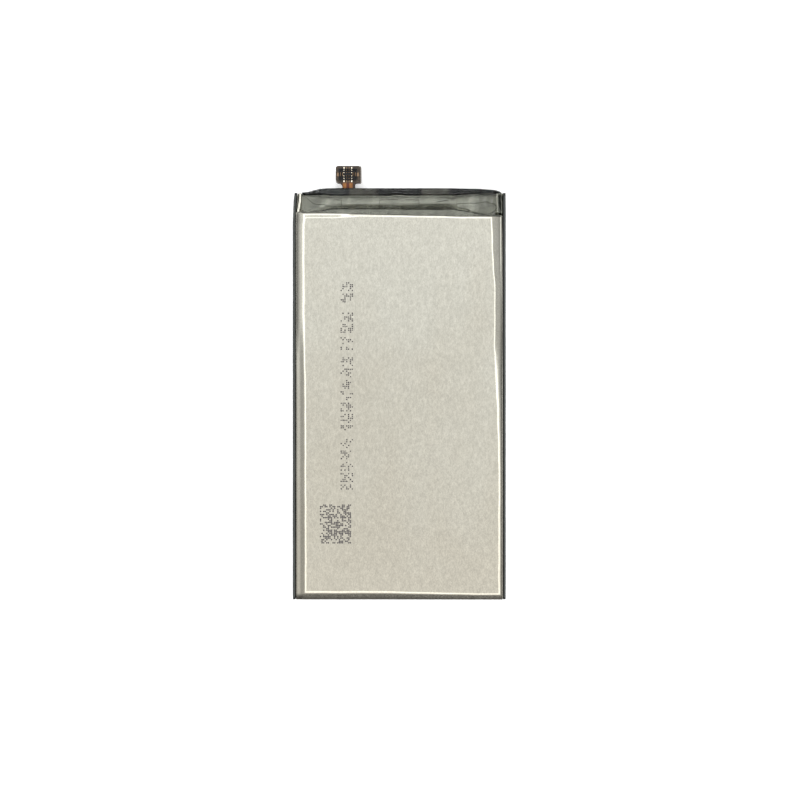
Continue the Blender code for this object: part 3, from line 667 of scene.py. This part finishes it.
def side_shoulders(y):
    """Face edge and shoulder outline of the left and of the right side at y."""
    left = table(LEFT_EDGE, y) + 0.045 * MM * waves(3, (11, 5.3, 24), y)
    right = table(RIGHT_EDGE, y) + 0.07 * MM * waves(5, (13, 6.1, 29), y)
    left_tilts = blend_tilts(LEFT_LOW, LEFT_TOP, smooth((y / MM - 7) / 10))
    right_tilts = blend_tilts(RIGHT_LOW, RIGHT_MIDDLE, smooth((y / MM - 1) / 13))
    right_tilts = blend_tilts(right_tilts, RIGHT_TOP, smooth((y / MM - 13) / 17))
    return (left, shoulder(left_tilts, left + WALL_X)), (right, shoulder(right_tilts, WALL_X - right))


def face_start(x):
    """Bottom end of the face at x."""
    return mix(-39.72, -40.18, smooth((x / MM + 6) / 24)) * MM + 0.03 * MM * waves(11, (7, 16), x)


# The top end against the place across the cell, all in millimetres: end of the face, length of the gentle
# slope beyond it, and length of the steep wall after that.
FACE_END = [
    (-20, 36.29), (-13, 36.31), (-10.5, 36.42), (-8, 36.6), (-4, 36.57), (0, 36.52), (4.3, 36.44),
    (8.3, 36.37), (12.4, 36.24), (19, 36.22),
]
SLOPE_RUN = [
    (-17.2, 1.25), (-16, 1.4), (-15, 1.75), (-13, 1.88), (-8, 1.62), (0, 1.64), (8.3, 1.68), (11, 1.85),
    (13, 1.62), (14.8, 1.32), (16.1, 1.05), (17.3, 0.86), (18.65, 0.78),
]
WALL_RUN = [
    (-19, 0.42), (-17, 0.8), (-15, 0.92), (-8, 0.95), (0, 1.1), (8.3, 1.3), (11, 1.1), (13, 0.8),
    (14.8, 0.55), (17.3, 0.42), (21, 0.38),
]
# Tilt of the gentle slope in degrees against the distance in millimetres from the face's end.
TOP_TILTS = [(0, 0), (0.08, 8), (0.16, 13), (0.24, 16), (0.34, 22), (0.6, 25), (2.2, 26)]
TOP_LEFT_TILTS = [
    (0, 0), (0.06, 8), (0.14, 10), (0.22, 0.5), (0.62, 0.5), (0.7, 9), (0.78, 9), (0.86, 23), (2.2, 27),
]
SLOPE_LENGTH, SLOPE_STEPS = 2.2 * MM, 44
TOP_OUTLINE = fall(TOP_TILTS, MM, SLOPE_LENGTH, SLOPE_STEPS)
TOP_LEFT_OUTLINE = fall(TOP_LEFT_TILTS, MM, SLOPE_LENGTH, SLOPE_STEPS)


def face_end(x):
    """Top end of the face at x."""
    return table(FACE_END, x) + 0.02 * MM * waves(13, (9, 21), x)


def slope_end(x):
    """Where the gentle slope turns down into the steep wall."""
    return face_end(x) + table(SLOPE_RUN, x)


def slope_foot(x):
    """Where the top wall meets the seal."""
    return slope_end(x) + table(WALL_RUN, x)


BOTTOM_OUTLINES = {}  # shoulder of the bottom end for each place where the face starts


def end_drop(x, y):
    """Drop below the face towards the bottom and top ends at a point."""
    start = face_start(x)
    if y < start:
        if start not in BOTTOM_OUTLINES:
            BOTTOM_OUTLINES[start] = shoulder(BOTTOM, start - WALL_START_Y - WALL_LEAN)
        return linear(BOTTOM_OUTLINES[start], start - y)
    past = y - face_end(x)
    if past <= 0:
        return 0.0
    end = slope_end(x)
    gentle = min(past, end - face_end(x))
    share = smooth((x / MM + 13) / 4.5)
    drop = mix(linear(TOP_LEFT_OUTLINE, gentle), linear(TOP_OUTLINE, gentle), share)
    return mix(drop, DEPTH, min(1.0, max(0.0, y - end) / (slope_foot(x) - end)))


# Raised strips of the top seal over the tabs: where each tab is, and the strip's height, half width and ramp.
TAB_X = 7.95 * MM
EMBOSS = 0.19 * MM
EMBOSS_HALF = 3.88 * MM
EMBOSS_RAMP = 0.22 * MM
EMBOSS_LAP = 0.1 * MM  # how far before the wall's foot a strip starts
EMBOSS_RISE = 0.3 * MM


def emboss(x, y):
    """Raised strips of the top seal over the tabs' sealant."""
    start = slope_foot(x) - EMBOSS_LAP
    if y < start:
        return 0.0
    inside = EMBOSS_HALF - abs(abs(x) - TAB_X)
    return EMBOSS * min(1.0, max(0.0, inside / EMBOSS_RAMP + 0.5)) * smooth((y - start) / EMBOSS_RISE)


# Gussets folded up at both ends of the top seal, in millimetres: crest places (along the cell, across it),
# cross sections (distance to the right of the crest, height against it), and crest heights.
LEFT_CREST = [(37.4, -20.6), (38, -20.58), (39, -20.42), (40, -20.27), (41.5, -20.27)]
LEFT_FOLD = [(-0.6, -4.0), (-0.4, -0.15), (0.16, 0.0), (0.26, -4.0)]
RIGHT_CREST = [(37.4, 20.08), (41.5, 20.02)]
RIGHT_FOLD = [(-0.34, -4.0), (-0.14, 0.0), (0.14, -0.08), (1.2, -0.62)]
CREST_Z = [(37.2, 3.3), (37.5, 3.85), (41.5, 3.25)]
# Height of the face's slight waves, and the drop over which they die out.
SWELL = 0.006 * MM
CALM_DROP = 0.4 * MM


def gusset_height(x, y):
    """Height of the gusset fold at a point, or zero where there's none."""
    crest, section = (LEFT_CREST, LEFT_FOLD) if x < 0 else (RIGHT_CREST, RIGHT_FOLD)
    off_crest = x / MM - linear(crest, y / MM, smooth)
    if y < CREST_Z[0][0] * MM or not section[0][0] < off_crest < section[-1][0]:
        return 0.0
    return (linear(CREST_Z, y / MM) + linear(section, off_crest)) * MM


def cup_height(x, y, across):
    """Height of the drawn film's middle surface, where across is the drop of the side shoulder there."""
    drop = min(DEPTH, math.hypot(across, end_drop(x, y)))
    calm = 1 - min(1.0, drop / CALM_DROP)
    swell = SWELL * (waves(7, (9, 23, 41), x) + waves(9, (31, 17), y + 0.4 * x))
    low = smooth(drop / DEPTH * 4 - 3)
    return max(FACE_Z - FILM / 2 - drop + swell * calm + emboss(x, y) * low, gusset_height(x, y))


def film_height(x, y):
    """Height of the drawn film's middle surface at any point."""
    (left, left_side), (right, right_side) = side_shoulders(y)
    across = linear(left_side, max(0.0, left - x)) + linear(right_side, max(0.0, x - right))
    return cup_height(x, y, across)


def cup_stations():
    """Places along the cell of the drawn film's rows, closer at both ends."""
    rows = [WALL_START_Y + WALL_LEAN * (1 - share) for share in WALL_SHARES[::-1]]
    rows += along(WALL_START_Y + WALL_LEAN, face_start(0.0) + 0.5 * MM, 36)
    rows += along(rows[-1], face_end(0.0) - 0.6 * MM, 108)[1:]
    rows += along(rows[-1], 39.6 * MM, 46)[1:]
    rows += along(rows[-1], END_Y - FILM / 2, 16)[1:]
    return rows


def cup_columns():
    """Fixed places across the face, closer over the sealant's edges."""
    columns = set(along(-18.4 * MM, 18.4 * MM, 72))
    steps = (-1.0, -0.5, -0.25, 0.0, 0.25, 0.5, 1.0)
    for centre in (-TAB_X, TAB_X):
        for side in (-EMBOSS_HALF, EMBOSS_HALF):
            columns |= {centre + side + step * EMBOSS_RAMP for step in steps}
    return sorted(columns)


def cup_row(y, columns):
    """Points (x, z) across the drawn film at y."""
    (left, left_side), (right, right_side) = side_shoulders(y)
    row = [(left - out, cup_height(left - out, y, drop)) for out, drop in left_side[::-1]]
    for x in along(left, columns[0], 5)[1:-1] + columns + along(columns[-1], right, 5)[1:-1]:
        row.append((x, cup_height(x, y, 0.0)))
    return row + [(right + out, cup_height(right + out, y, drop)) for out, drop in right_side]


def build_cup_half():
    """Drawn film of the pouch: face, shoulders, walls, top seal and the inner films of the side seals."""
    rows, columns = [], cup_columns()
    for y in cup_stations():
        left, right = flap_path(FILM + SEAM, -1, y), flap_path(FILM + SEAM, 1, y)
        rows.append([(x, y, z) for x, z in left[::-1] + cup_row(y, columns) + right])
    bm = sheet_mesh(rows)
    piece = piece_from(bm, "laminate_cup_half", "laminate", CELL, ["pouch_cup_half"])
    thicken(piece, FILM_BUILT)


# ---- label
def build_label():
    """Plain sheet with round corners, just inside the CAD label."""
    bm = plate_mesh(label_low, label_high, 0.02 * MM, [1.0 * MM] * 4, 8)
    piece = piece_from(bm, "underside_label", "label", CELL, ["label_sheet"])
    soften(piece, 0.02 * MM)


# ---- wrap and clear tape
WRAP_THICK = 0.08 * MM
TAPE_THICK = 0.05 * MM
TAPE_LIFT = FILM / 2 + TAPE_THICK / 2 + 0.03 * MM
TAPE_TERRACE_Z = 0.69 * MM
TAPE_LOW_X = -19.98 * MM
TAPE_HIGH_X = 21.0 * MM
TAPE_LANDING = 0.42 * MM  # how far beyond the wall's foot the hanging tape meets the seal
TAPE_HANG = 0.9 * MM
TAPE_SAG = 1.1 * MM
# Where across the cell the tape starts to bridge from the slope to the ridge, and over what length.
BRIDGE_X, BRIDGE_RUN = 8.5 * MM, 6.5 * MM
# The tape's turn under the cell's end: its height, its radius and where it stops along the cell.
UNDER_Z, UNDER_R, UNDER_Y = 0.05 * MM, 0.28 * MM, 41.3 * MM
TAPE_TOP_Z = cad_bounds[1].z - TAPE_THICK / 2 - 0.01 * MM
RIDGE_INNER_Y = 41.04 * MM
RIDGE_OUTER_Y = 42.45 * MM
RIDGE_TOP_Z = 4.62 * MM
RIDGE_FOOT_Z = 0.72 * MM
RIDGE_CORNER_R = 0.45 * MM
RIDGE_SPLIT = 14  # points of the ridge's section up to where the bridging tape comes off it
TAPE_POINTS = 56  # of the tape's section between the slope and the ridge
TAPE_OUTSIDE = 0.11 * MM
# How far the ridge's outer side comes in and its inner side goes out at each place across the cell, in
# millimetres, and the share of its full height that it has there.
RIDGE_COME_IN = [
    (-20.1, 0.62), (-18.9, 0.58), (-18.2, 0.42), (-17.2, 0.2), (-16.2, 0.09), (-14.5, 0.0), (10.5, 0.0),
    (12.3, 0.06), (16.4, 0.14), (18.5, 0.22), (19.3, 0.26), (19.8, 0.31), (20.4, 0.44), (21, 0.75),
]
RIDGE_GO_OUT = [
    (-20.1, 0.46), (-18.5, 0.38), (-17.2, 0.26), (-15.6, 0.1), (-14, 0.02), (-2, 0.02), (-1.2, 0.16),
    (0.6, 0.16), (1.4, 0.02), (10.5, 0.08), (16, 0.34), (18.5, 0.56), (20.4, 0.66), (21, 0.4),
]
RIDGE_HEIGHT = [
    (-20.1, 0.16), (-18.6, 0.24), (-17.4, 0.52), (-16, 0.92), (-14.8, 1.0), (15.8, 1.0), (17.6, 0.84),
    (19, 0.66), (21, 0.36),
]
# The tape's edge on the slope: (place across the cell, place along it), in millimetres.
TAPE_EDGE = [
    (-20, 37.49), (-15.6, 37.47), (-14, 37.4), (-12, 37.28), (-8.5, 37.24), (-6.8, 37.15), (-3.7, 37.06),
    (0, 36.98), (4, 36.89), (8.5, 36.85), (10.6, 36.72), (21, 36.7),
]


def ridge_profile(x, outside, foot_z):
    """Section of the ridge at x in Y and Z, up its inner side and down its outer side."""
    creases = 0.025 * MM * waves(41, (3.1, 5.3, 7.9), x)
    inner = RIDGE_INNER_Y + table(RIDGE_GO_OUT, x) - outside + creases
    outer = RIDGE_OUTER_Y - table(RIDGE_COME_IN, x) + outside
    height = linear(RIDGE_HEIGHT, x / MM, smooth)
    top = RIDGE_FOOT_Z + (RIDGE_TOP_Z - RIDGE_FOOT_Z) * height + outside - abs(creases)
    radius = min(RIDGE_CORNER_R + outside, (outer - inner) * 0.45, (top - foot_z) * 0.8)
    points = [(inner, z) for z in along(foot_z, top - radius, 8)]
    points += arc((inner + radius, top - radius), radius, 180, 90, 7)[1:]
    points += arc((outer - radius, top - radius), radius, 90, 0, 7)
    return points


def slit(piece):
    """Cuts the opening that the flexible tail leaves through."""
    margin = 0.13 * MM
    low = Vector((root_low.x - margin, RIDGE_OUTER_Y - 0.25 * MM, head_low.z - margin))
    high = Vector((root_high.x + margin, RIDGE_OUTER_Y + 0.3 * MM, head_high.z + margin))
    bm = bmesh.new()
    bmesh.ops.create_cube(bm, size=1.0)
    bmesh.ops.scale(bm, verts=bm.verts, vec=high - low)
    bmesh.ops.translate(bm, verts=bm.verts, vec=(low + high) / 2)
    cutter = object_from(bm, "slit")
    modifier = piece.modifiers.new("slit", "BOOLEAN")
    modifier.operation = "DIFFERENCE"
    modifier.object = cutter
    apply_modifiers(piece)
    bpy.data.objects.remove(cutter)


def build_wrap():
    """Insulating wrap over the board: the ridge's section, with its outer side carried down to the edge."""
    rows = []
    for x in along(-19.93 * MM, 20.9 * MM, 136):
        profile = ridge_profile(x, 0.0, RIDGE_FOOT_Z + WRAP_THICK)
        profile += [(profile[-1][0], z) for z in along(profile[-1][1], 0.5 * MM, 6)[1:]]
        rows.append([(x, y, z) for y, z in profile])
    piece = piece_from(sheet_mesh(rows), "insulating_wrap", "wrap", CELL, ["board_wrap"])
    thicken(piece, WRAP_THICK)
    slit(piece)


# Creases of the tape, the edge of the air bubble at its right end, and the crease of the film under its left
# end, in millimetres.
LONG_CREASE = [(4.5, 39.42), (8.5, 39.42), (12, 39.45), (16.4, 39.5)]
SHORT_CREASE = [(7.6, 40.0), (8.8, 40.2), (10.1, 40.42)]
BUBBLE_EDGE = [
    (16.45, 39.59), (18.1, 39.83), (18.5, 39.38), (19, 39.59), (19.65, 39.38), (20.15, 38.62), (19.4, 37.85),
    (18.5, 37.05),
]
CORNER_CREASE = [
    (-19.35, 41.1), (-18.75, 40.6), (-18.15, 40.0), (-17.4, 39.62), (-16.4, 39.52), (-15, 39.48),
]
# Each crease of the tape with its depth and its spread.
TAPE_CREASES = (
    (LONG_CREASE, 0.08 * MM, 0.14 * MM),
    (SHORT_CREASE, 0.08 * MM, 0.14 * MM),
    (BUBBLE_EDGE, 0.1 * MM, 0.12 * MM),
)


def crease_depth(x, y):
    """Depth of the creases in the tape at a point."""
    if x < LONG_CREASE[0][0] * MM or not 36.5 * MM <= y <= 41 * MM:
        return 0.0
    total = 0.0
    for line, depth, spread in TAPE_CREASES:
        total += depth * math.exp(-((distance_to(line, x, y) / spread) ** 2))
    return total


def over_film(x, y, z):
    """A height for the tape at a point that clears the film below it."""
    if y > END_Y - FILM / 2 or x < 0:
        return z
    return max(z, film_height(x, y) + TAPE_LIFT)


def tape_profile(x):
    """Section of the tape at x in Y and Z. At the right it bridges from the slope to the ridge."""
    bend, foot = slope_end(x), slope_foot(x)
    start = min(table(TAPE_EDGE, x), bend - 0.1 * MM)
    slope = []
    for y in along(start, bend - 0.02 * MM, 14):
        slope.append((y, min(TAPE_TOP_Z, film_height(x, y) + TAPE_LIFT * 1.12)))
    ridge = ridge_profile(x, TAPE_OUTSIDE, TAPE_TERRACE_Z)
    corner = ridge[:RIDGE_SPLIT]
    top = corner[-1]
    landing = foot + TAPE_LANDING
    pull = (bend + TAPE_LANDING, slope[-1][1] - TAPE_HANG)
    hang = curve(slope[-1], pull, (landing, TAPE_TERRACE_Z), 14)
    flat = [(y, TAPE_TERRACE_Z) for y in along(landing, corner[0][0], 12)[1:]]
    lying = resample(hang + flat + corner[1:], TAPE_POINTS)
    middle = ((slope[-1][0] + top[0]) / 2, min(slope[-1][1], top[1]) - TAPE_SAG)
    bridging = resample(curve(slope[-1], middle, top, 20), TAPE_POINTS)
    share = smooth((x - BRIDGE_X) / BRIDGE_RUN)
    middle_part = []
    for low, high in zip(lying, bridging):
        y, z = mix(low[0], high[0], share), mix(low[1], high[1], share)
        middle_part.append((y, over_film(x, y, z - crease_depth(x, y))))
    outer = ridge[-1][0]
    turn_z = UNDER_Z + UNDER_R
    rest = ridge[RIDGE_SPLIT - 1 :] + [(outer, z) for z in along(ridge[-1][1], turn_z, 6)[1:-1]]
    rest += arc((outer - UNDER_R, turn_z), UNDER_R, 0, -90, 5)
    rest.append((UNDER_Y, UNDER_Z))
    return slope + middle_part[1:] + resample(rest, 36)[1:]


def build_tape():
    """Clear tape from the face's end over the slope, seal and ridge, and under the cell's end."""
    rows = []
    for x in along(TAPE_LOW_X, TAPE_HIGH_X, 200):
        rows.append([(x, y, z) for y, z in tape_profile(x)])
    bm = sheet_mesh(rows)
    piece = piece_from(bm, "clear_end_tape", "clear_tape", CELL, ["end_tape"])
    thicken(piece, TAPE_THICK)
    slit(piece)


# ---- painted shade lines along creases and seals
CREASE_RADIUS = 0.045 * MM
RIM_RADIUS = 0.035 * MM
# Painted shade lines on the top seal beside the tabs, and painted shade specks where air is trapped under the
# tape, in millimetres.
SEAL_SHADE_LINES = [
    [(-13.4, 40.5), (-11.8, 40.42)], [(-4.1, 40.42), (-0.3, 40.55)], [(1.2, 40.5), (4.1, 40.42)],
    [(-11.83, 40.5), (-11.83, 39.5)], [(-4.07, 40.5), (-4.07, 39.5)], [(4.07, 40.5), (4.07, 39.45)],
    [(11.83, 40.35), (11.83, 39.6)],
]
AIR_SPECKS = ((16.0, 39.5), (15.7, 38.75), (16.3, 39.95))


def tape_surface(x, y):
    """Height of the tape's middle at a point between the face and the ridge."""
    section = [point for point in tape_profile(x) if point[0] < RIDGE_INNER_Y]
    return linear(section, y)


def crease_tube(bm, line, height, radius):
    """Adds a slightly wavering thin tube along a line given in millimetres, at the height of a surface."""
    points = []
    for i, (x, y) in enumerate(spaced(line)):
        stray = 0.04 * waves(61, (0.9, 1.7), i * 0.12 * MM)
        x, y = x * MM, (y + stray) * MM
        points.append(Vector((x, y, height(x, y))))
    tube(bm, points, radius)


def build_crease_shade_lines():
    """Painted shade: dark lines along the folds under and in the tape, the edge of its air bubble and its own
    edges, and dark specks of trapped air.
    """
    bm = bmesh.new()
    for line, _, _ in TAPE_CREASES:
        crease_tube(bm, line, tape_surface, CREASE_RADIUS)
    crease_tube(bm, CORNER_CREASE, lambda x, y: film_height(x, y) + FILM / 2, CREASE_RADIUS)
    for x, y in AIR_SPECKS:
        z = tape_surface(x * MM, y * MM) / MM
        tube(bm, [Vector((x + dx, y, z)) * MM for dx in (-0.14, -0.05, 0.05, 0.14)], CREASE_RADIUS * 1.7)
    edge = []
    for x in along(TAPE_LOW_X, TAPE_HIGH_X, 200):
        y, z = tape_profile(x)[0]
        edge.append(Vector((x, y, z - RIM_RADIUS)))
    tube(bm, edge, RIM_RADIUS)
    side = [Vector((TAPE_LOW_X, y, z)) for y, z in tape_profile(TAPE_LOW_X) if y < RIDGE_INNER_Y + 0.2 * MM]
    tube(bm, side, RIM_RADIUS)
    piece_from(bm, "tape_crease_shade_lines", "crease", CELL)


def build_seal_lines():
    """Painted shade: dark lines on the top seal along the sealant's edges and beside the tabs."""
    bm = bmesh.new()
    for line in SEAL_SHADE_LINES:
        points = []
        for x, y in spaced(line):
            points.append(Vector((x * MM, y * MM, cup_height(x * MM, y * MM, 0.0) + FILM / 2)))
        tube(bm, points, CREASE_RADIUS)
    piece_from(bm, "top_seal_shade_lines", "seal_shade", CELL)


# ---- flexible tail
NECK_WIDTH = 2.65 * MM
TAIL_X = (head_low.x + head_high.x) / 2
FLEX_Z = (head_low.z + head_high.z) / 2
FLEX_THICK = 0.12 * MM
# Where each edge of the tail starts to widen along the cell, and over what length.
WIDEN_LEFT = (42.95 * MM, 1.45 * MM)
WIDEN_RIGHT = (43.3 * MM, 0.55 * MM)
RIGHT_INSET = 0.34 * MM
HEAD_CORNER_R = 0.5 * MM
HINGE_Y = frame["joints"][0]["pos_m"][1]


def half_widths(y):
    """Left and right half widths of the flexible tail at y."""
    widths = []
    for (start, run), inset in ((WIDEN_LEFT, 0.0), (WIDEN_RIGHT, RIGHT_INSET)):
        widths.append(mix(NECK_WIDTH / 2, head_high.x - TAIL_X - inset, smooth((y - start) / run)))
    past_corner = max(0.0, HEAD_CORNER_R - (head_high.y - y))
    cut = HEAD_CORNER_R - math.sqrt(max(0.0, HEAD_CORNER_R**2 - past_corner**2))
    return widths[0] - cut, widths[1] - cut * 0.8


def build_flex():
    """One strip from the board, round its bend and out to the head, past the fold line."""
    bend = 0.25 * MM
    start_y = root_low.y + FLEX_THICK / 2
    path = [(start_y, z) for z in along(root_high.z, FLEX_Z + bend, 5)]
    path += arc((start_y + bend, FLEX_Z + bend), bend, 180, 270, 8)[1:]
    path += [(y, FLEX_Z) for y in along(path[-1][0], HINGE_Y + 0.5 * MM, 20)[1:]]
    path += [(y, FLEX_Z) for y in along(path[-1][0], head_high.y - 0.55 * MM, 22)[1:]]
    for t in along(0.0, 1.0, 8)[1:]:
        path.append((head_high.y - 0.5 * MM * (1 - math.sin(math.pi / 2 * t)) - 0.003 * MM, FLEX_Z))
    rows = []
    for y, z in path:
        left, right = half_widths(y) if z == FLEX_Z else (NECK_WIDTH / 2, NECK_WIDTH / 2)
        rows.append([(TAIL_X + x, y, z) for x in along(-left, right, 16)])
    replaced = ["flex_root", "flex_head"]
    piece = piece_from(sheet_mesh(rows), "flexible_tail", "flex", None, replaced)
    thicken(piece, FLEX_THICK)
    apply_modifiers(piece)
    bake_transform(piece)


# ---- socket
HOUSING_WALL = 0.2 * MM
GROOVE_WIDTH = 0.7 * MM
CONTACT_PITCH = 0.525 * MM
CONTACT_WIDTH = 0.2 * MM
CONTACT_THICK = 0.06 * MM
SPRING_R = 0.075 * MM
SPRING_Z = 0.62 * MM


def build_housing():
    """Socket moulding: rings up the outer wall, over the rim, down the groove and up on to the island."""
    high = housing_high.z - housing_low.z
    edge = 0.03 * MM
    wall, groove = HOUSING_WALL, HOUSING_WALL + GROOVE_WIDTH
    floor, island = high - 0.55 * MM, high - 0.1 * MM
    # Inset from the outer wall, height, and corner radius of each ring.
    rings = [
        (0.0, 0.0, 0.14 * MM),
        (0.0, high - edge, 0.14 * MM),
        (edge, high, 0.12 * MM),
        (wall - edge, high, 0.07 * MM),
        (wall, high - edge, 0.06 * MM),
        (wall, floor, 0.06 * MM),
        (groove, floor, 0.1 * MM),
        (groove, island - edge, 0.1 * MM),
        (groove + edge, island, 0.08 * MM),
    ]
    bm = bmesh.new()
    skin = []
    for inset, z, radius in rings:
        outline = round_outline(housing_low, housing_high, inset, [radius] * 4, 4)
        skin.append([(x, y, housing_low.z + z) for x, y in outline])
    closed_rings(bm, skin)
    piece = piece_from(bm, "socket_housing", "housing", TAIL, ["connector_housing"])
    piece.data.set_sharp_from_angle(angle=math.radians(40))
    for place in contact_places():
        build_contact(*place)


def contact_places():
    """CAD node, outward direction, place along the row and width of every contact."""
    places, number = [], 1
    for direction in (Vector((0, 1, 0)), Vector((0, -1, 0))):
        for i in range(4):
            places.append((f"signal_contact_{number}", direction, (i - 1.5) * CONTACT_PITCH, CONTACT_WIDTH))
            number += 1
    places.append(("power_contact_1", Vector((-1, 0, 0)), 0.0, 0.8 * MM))
    places.append(("power_contact_2", Vector((1, 0, 0)), 0.0, 0.8 * MM))
    return places


def build_contact(name, direction, offset, width):
    """A plated spring: a tail on the film, a run under the wall, then a crest at each side of the groove."""
    centre, size = (housing_low + housing_high) / 2, housing_high - housing_low
    half = (size.y if direction.y else size.x) / 2
    base = CONTACT_THICK / 2 + 0.01 * MM
    outer, inner = half - HOUSING_WALL - 0.11 * MM, half - HOUSING_WALL - GROOVE_WIDTH + 0.09 * MM
    floor_r = (outer - inner) / 2 - SPRING_R
    profile = [(half + 0.4 * MM, base), (half + 0.05 * MM, base), (half - HOUSING_WALL, base)]
    profile += [(outer + SPRING_R, base + 0.05 * MM)]
    profile += arc((outer, SPRING_Z), SPRING_R, 0, 180, 8)
    profile += arc(((outer + inner) / 2, 0.16 * MM + floor_r), floor_r, 0, -180, 8)
    profile += arc((inner, SPRING_Z), SPRING_R, 0, 180, 8)
    profile += [(inner - SPRING_R, 0.5 * MM)]
    sideways = Vector((-direction.y, direction.x, 0))
    origin = Vector((centre.x, centre.y, head_high.z + 0.004 * MM)) + sideways * offset
    rows = []
    for side in along(-width / 2, width / 2, 3):
        rows.append([origin + direction * u + Vector((0, 0, v)) + sideways * side for u, v in profile])
    # The middle contacts of each row get the darker plating.
    finish = "contact_gold" if abs(offset) > CONTACT_PITCH else "contact_bronze"
    piece = piece_from(sheet_mesh(rows), name + "_spring", finish, TAIL, [name])
    thicken(piece, CONTACT_THICK * 0.8)
    soften(piece, 0.012 * MM)


def build_stiffener():
    """Steel plate under the head; its right edge shows beside the film."""
    radii = [radius * MM for radius in (0.3, 0.45, 0.55, 0.25)]
    bm = plate_mesh(stiffener_low, stiffener_high, 0.01 * MM, radii, 6)
    piece = piece_from(bm, "stiffener_plate", "stiffener", TAIL, ["stiffener"])
    soften(piece, 0.03 * MM, 2)


# ---- printed dots
DOT_RADIUS = 0.15 * MM
DOT_THICK = 0.004 * MM
LINE_X = -10.7 * MM
LINE_PITCH = 0.385 * MM
LINE_ROWS = 7
# Start and end of each group of marks along the cell, in millimetres.
MARK_GROUPS = [(23.1, 19.0), (16.9, 9.5), (7.8, -6.9), (-8.9, -19.0)]
GROUP_COLUMNS = 6  # the last column of every six stays empty
DOT_CHANCE = 0.42
BLOCK_CENTRE = (-12.85 * MM, -25.9 * MM)
BLOCK_PITCH = 0.32 * MM
BLOCK_SIZE = (20, 25)
BLOCK_CHANCE = 0.5


def add_dot(bm, x, y, radius, sides=8):
    """A flat printed dot standing a hair above the film."""
    z = cup_height(x, y, 0.0) + FILM / 2 + DOT_THICK
    ring = [bm.verts.new((px, py, z)) for px, py in arc((x, y), radius, 0, 360, sides)[:-1]]
    bm.faces.new(ring)


def build_marks():
    """Generic marks: columns of random dots in groups, and a block of random square dots. No lettering."""
    pick = random.Random(12)
    bm = bmesh.new()
    for start, end in MARK_GROUPS:
        columns = int((start - end) * MM / LINE_PITCH)
        for column in range(columns + 1):
            if column % GROUP_COLUMNS == GROUP_COLUMNS - 1:
                continue
            y = start * MM - column * LINE_PITCH
            for row in range(LINE_ROWS):
                if pick.random() < DOT_CHANCE:
                    jitter = 0.03 * MM * (pick.random() - 0.5)
                    x = LINE_X + (row - (LINE_ROWS - 1) / 2) * LINE_PITCH * 0.98
                    add_dot(bm, x + jitter, y + jitter, DOT_RADIUS * (0.9 + 0.25 * pick.random()))
    for i in range(BLOCK_SIZE[0]):
        for j in range(BLOCK_SIZE[1]):
            if pick.random() < BLOCK_CHANCE:
                x = BLOCK_CENTRE[0] + (i - BLOCK_SIZE[0] / 2) * BLOCK_PITCH
                y = BLOCK_CENTRE[1] + (j - BLOCK_SIZE[1] / 2) * BLOCK_PITCH
                add_dot(bm, x, y, BLOCK_PITCH * 0.62, 4)
    piece_from(bm, "printed_dots", "ink", CELL)


# ---- stage, light and camera
VIEW_WIDTH = 163.1 * MM  # what the camera sees across, at the height of the cell's top
LENS = 100.0
SENSOR = 36.0


def build_stage():
    """A pale floor just under the cell, faintly lit of itself so that it stays white."""
    bm = bmesh.new()
    bmesh.ops.create_grid(bm, x_segments=1, y_segments=1, size=1.5)
    floor = object_from(bm, "floor")
    floor.location.z = cad_bounds[0].z - 0.02 * MM
    n = new_material("floor_white", (0.92, 0.92, 0.92), 0.9, gloss=0.0)
    n.set("Emission Color", (1.0, 1.0, 1.0, 1.0))
    n.set("Emission Strength", 0.3)
    floor.data.materials.append(n.owner)


def build_world():
    """A pale dome: soft overhead, a bright ring round it, and dim towards the horizon."""
    world = bpy.data.worlds.new("studio")
    bpy.context.scene.world = world
    n = Nodes(world, "Background")
    # Angle from overhead in degrees, and brightness there.
    rings = [(100, 0.12), (86, 0.16), (76, 0.3), (62, 0.62), (50, 0.95), (42, 1.5)]
    rings += [(34, 2.9), (20, 3.1), (14, 1.8), (9, 1.15), (0, 1.05)]
    peak = 3.1
    stops = [((math.cos(math.radians(angle)) + 1) / 2, level / peak) for angle, level in rings]
    upward = n.share(n.part(n.coordinates["Generated"], "Z"), -1.0, 1.0)
    n.link(n.ramp(upward, greys(stops)), n.shader.inputs["Color"])
    n.set("Strength", peak)


def build_camera():
    """Straight above the cell, as close as the lens needs for the width of the view."""
    data = bpy.data.cameras.new("camera")
    data.lens = LENS
    data.sensor_width = SENSOR
    data.clip_start = 0.01
    camera = bpy.data.objects.new("camera", data)
    bpy.context.scene.collection.objects.link(camera)
    camera.location = (0.15 * MM, -0.78 * MM, cad_bounds[1].z + VIEW_WIDTH * LENS / SENSOR)
    bpy.context.scene.camera = camera
    bpy.context.scene.view_settings.view_transform = "Standard"


# ---- the whole scene
finish_cad_nodes()
build_label()
build_back_half()
build_cup_half()
build_wrap()
build_tape()
build_crease_shade_lines()
build_seal_lines()
build_flex()
build_stiffener()
build_housing()
build_marks()
build_stage()
build_world()
build_camera()
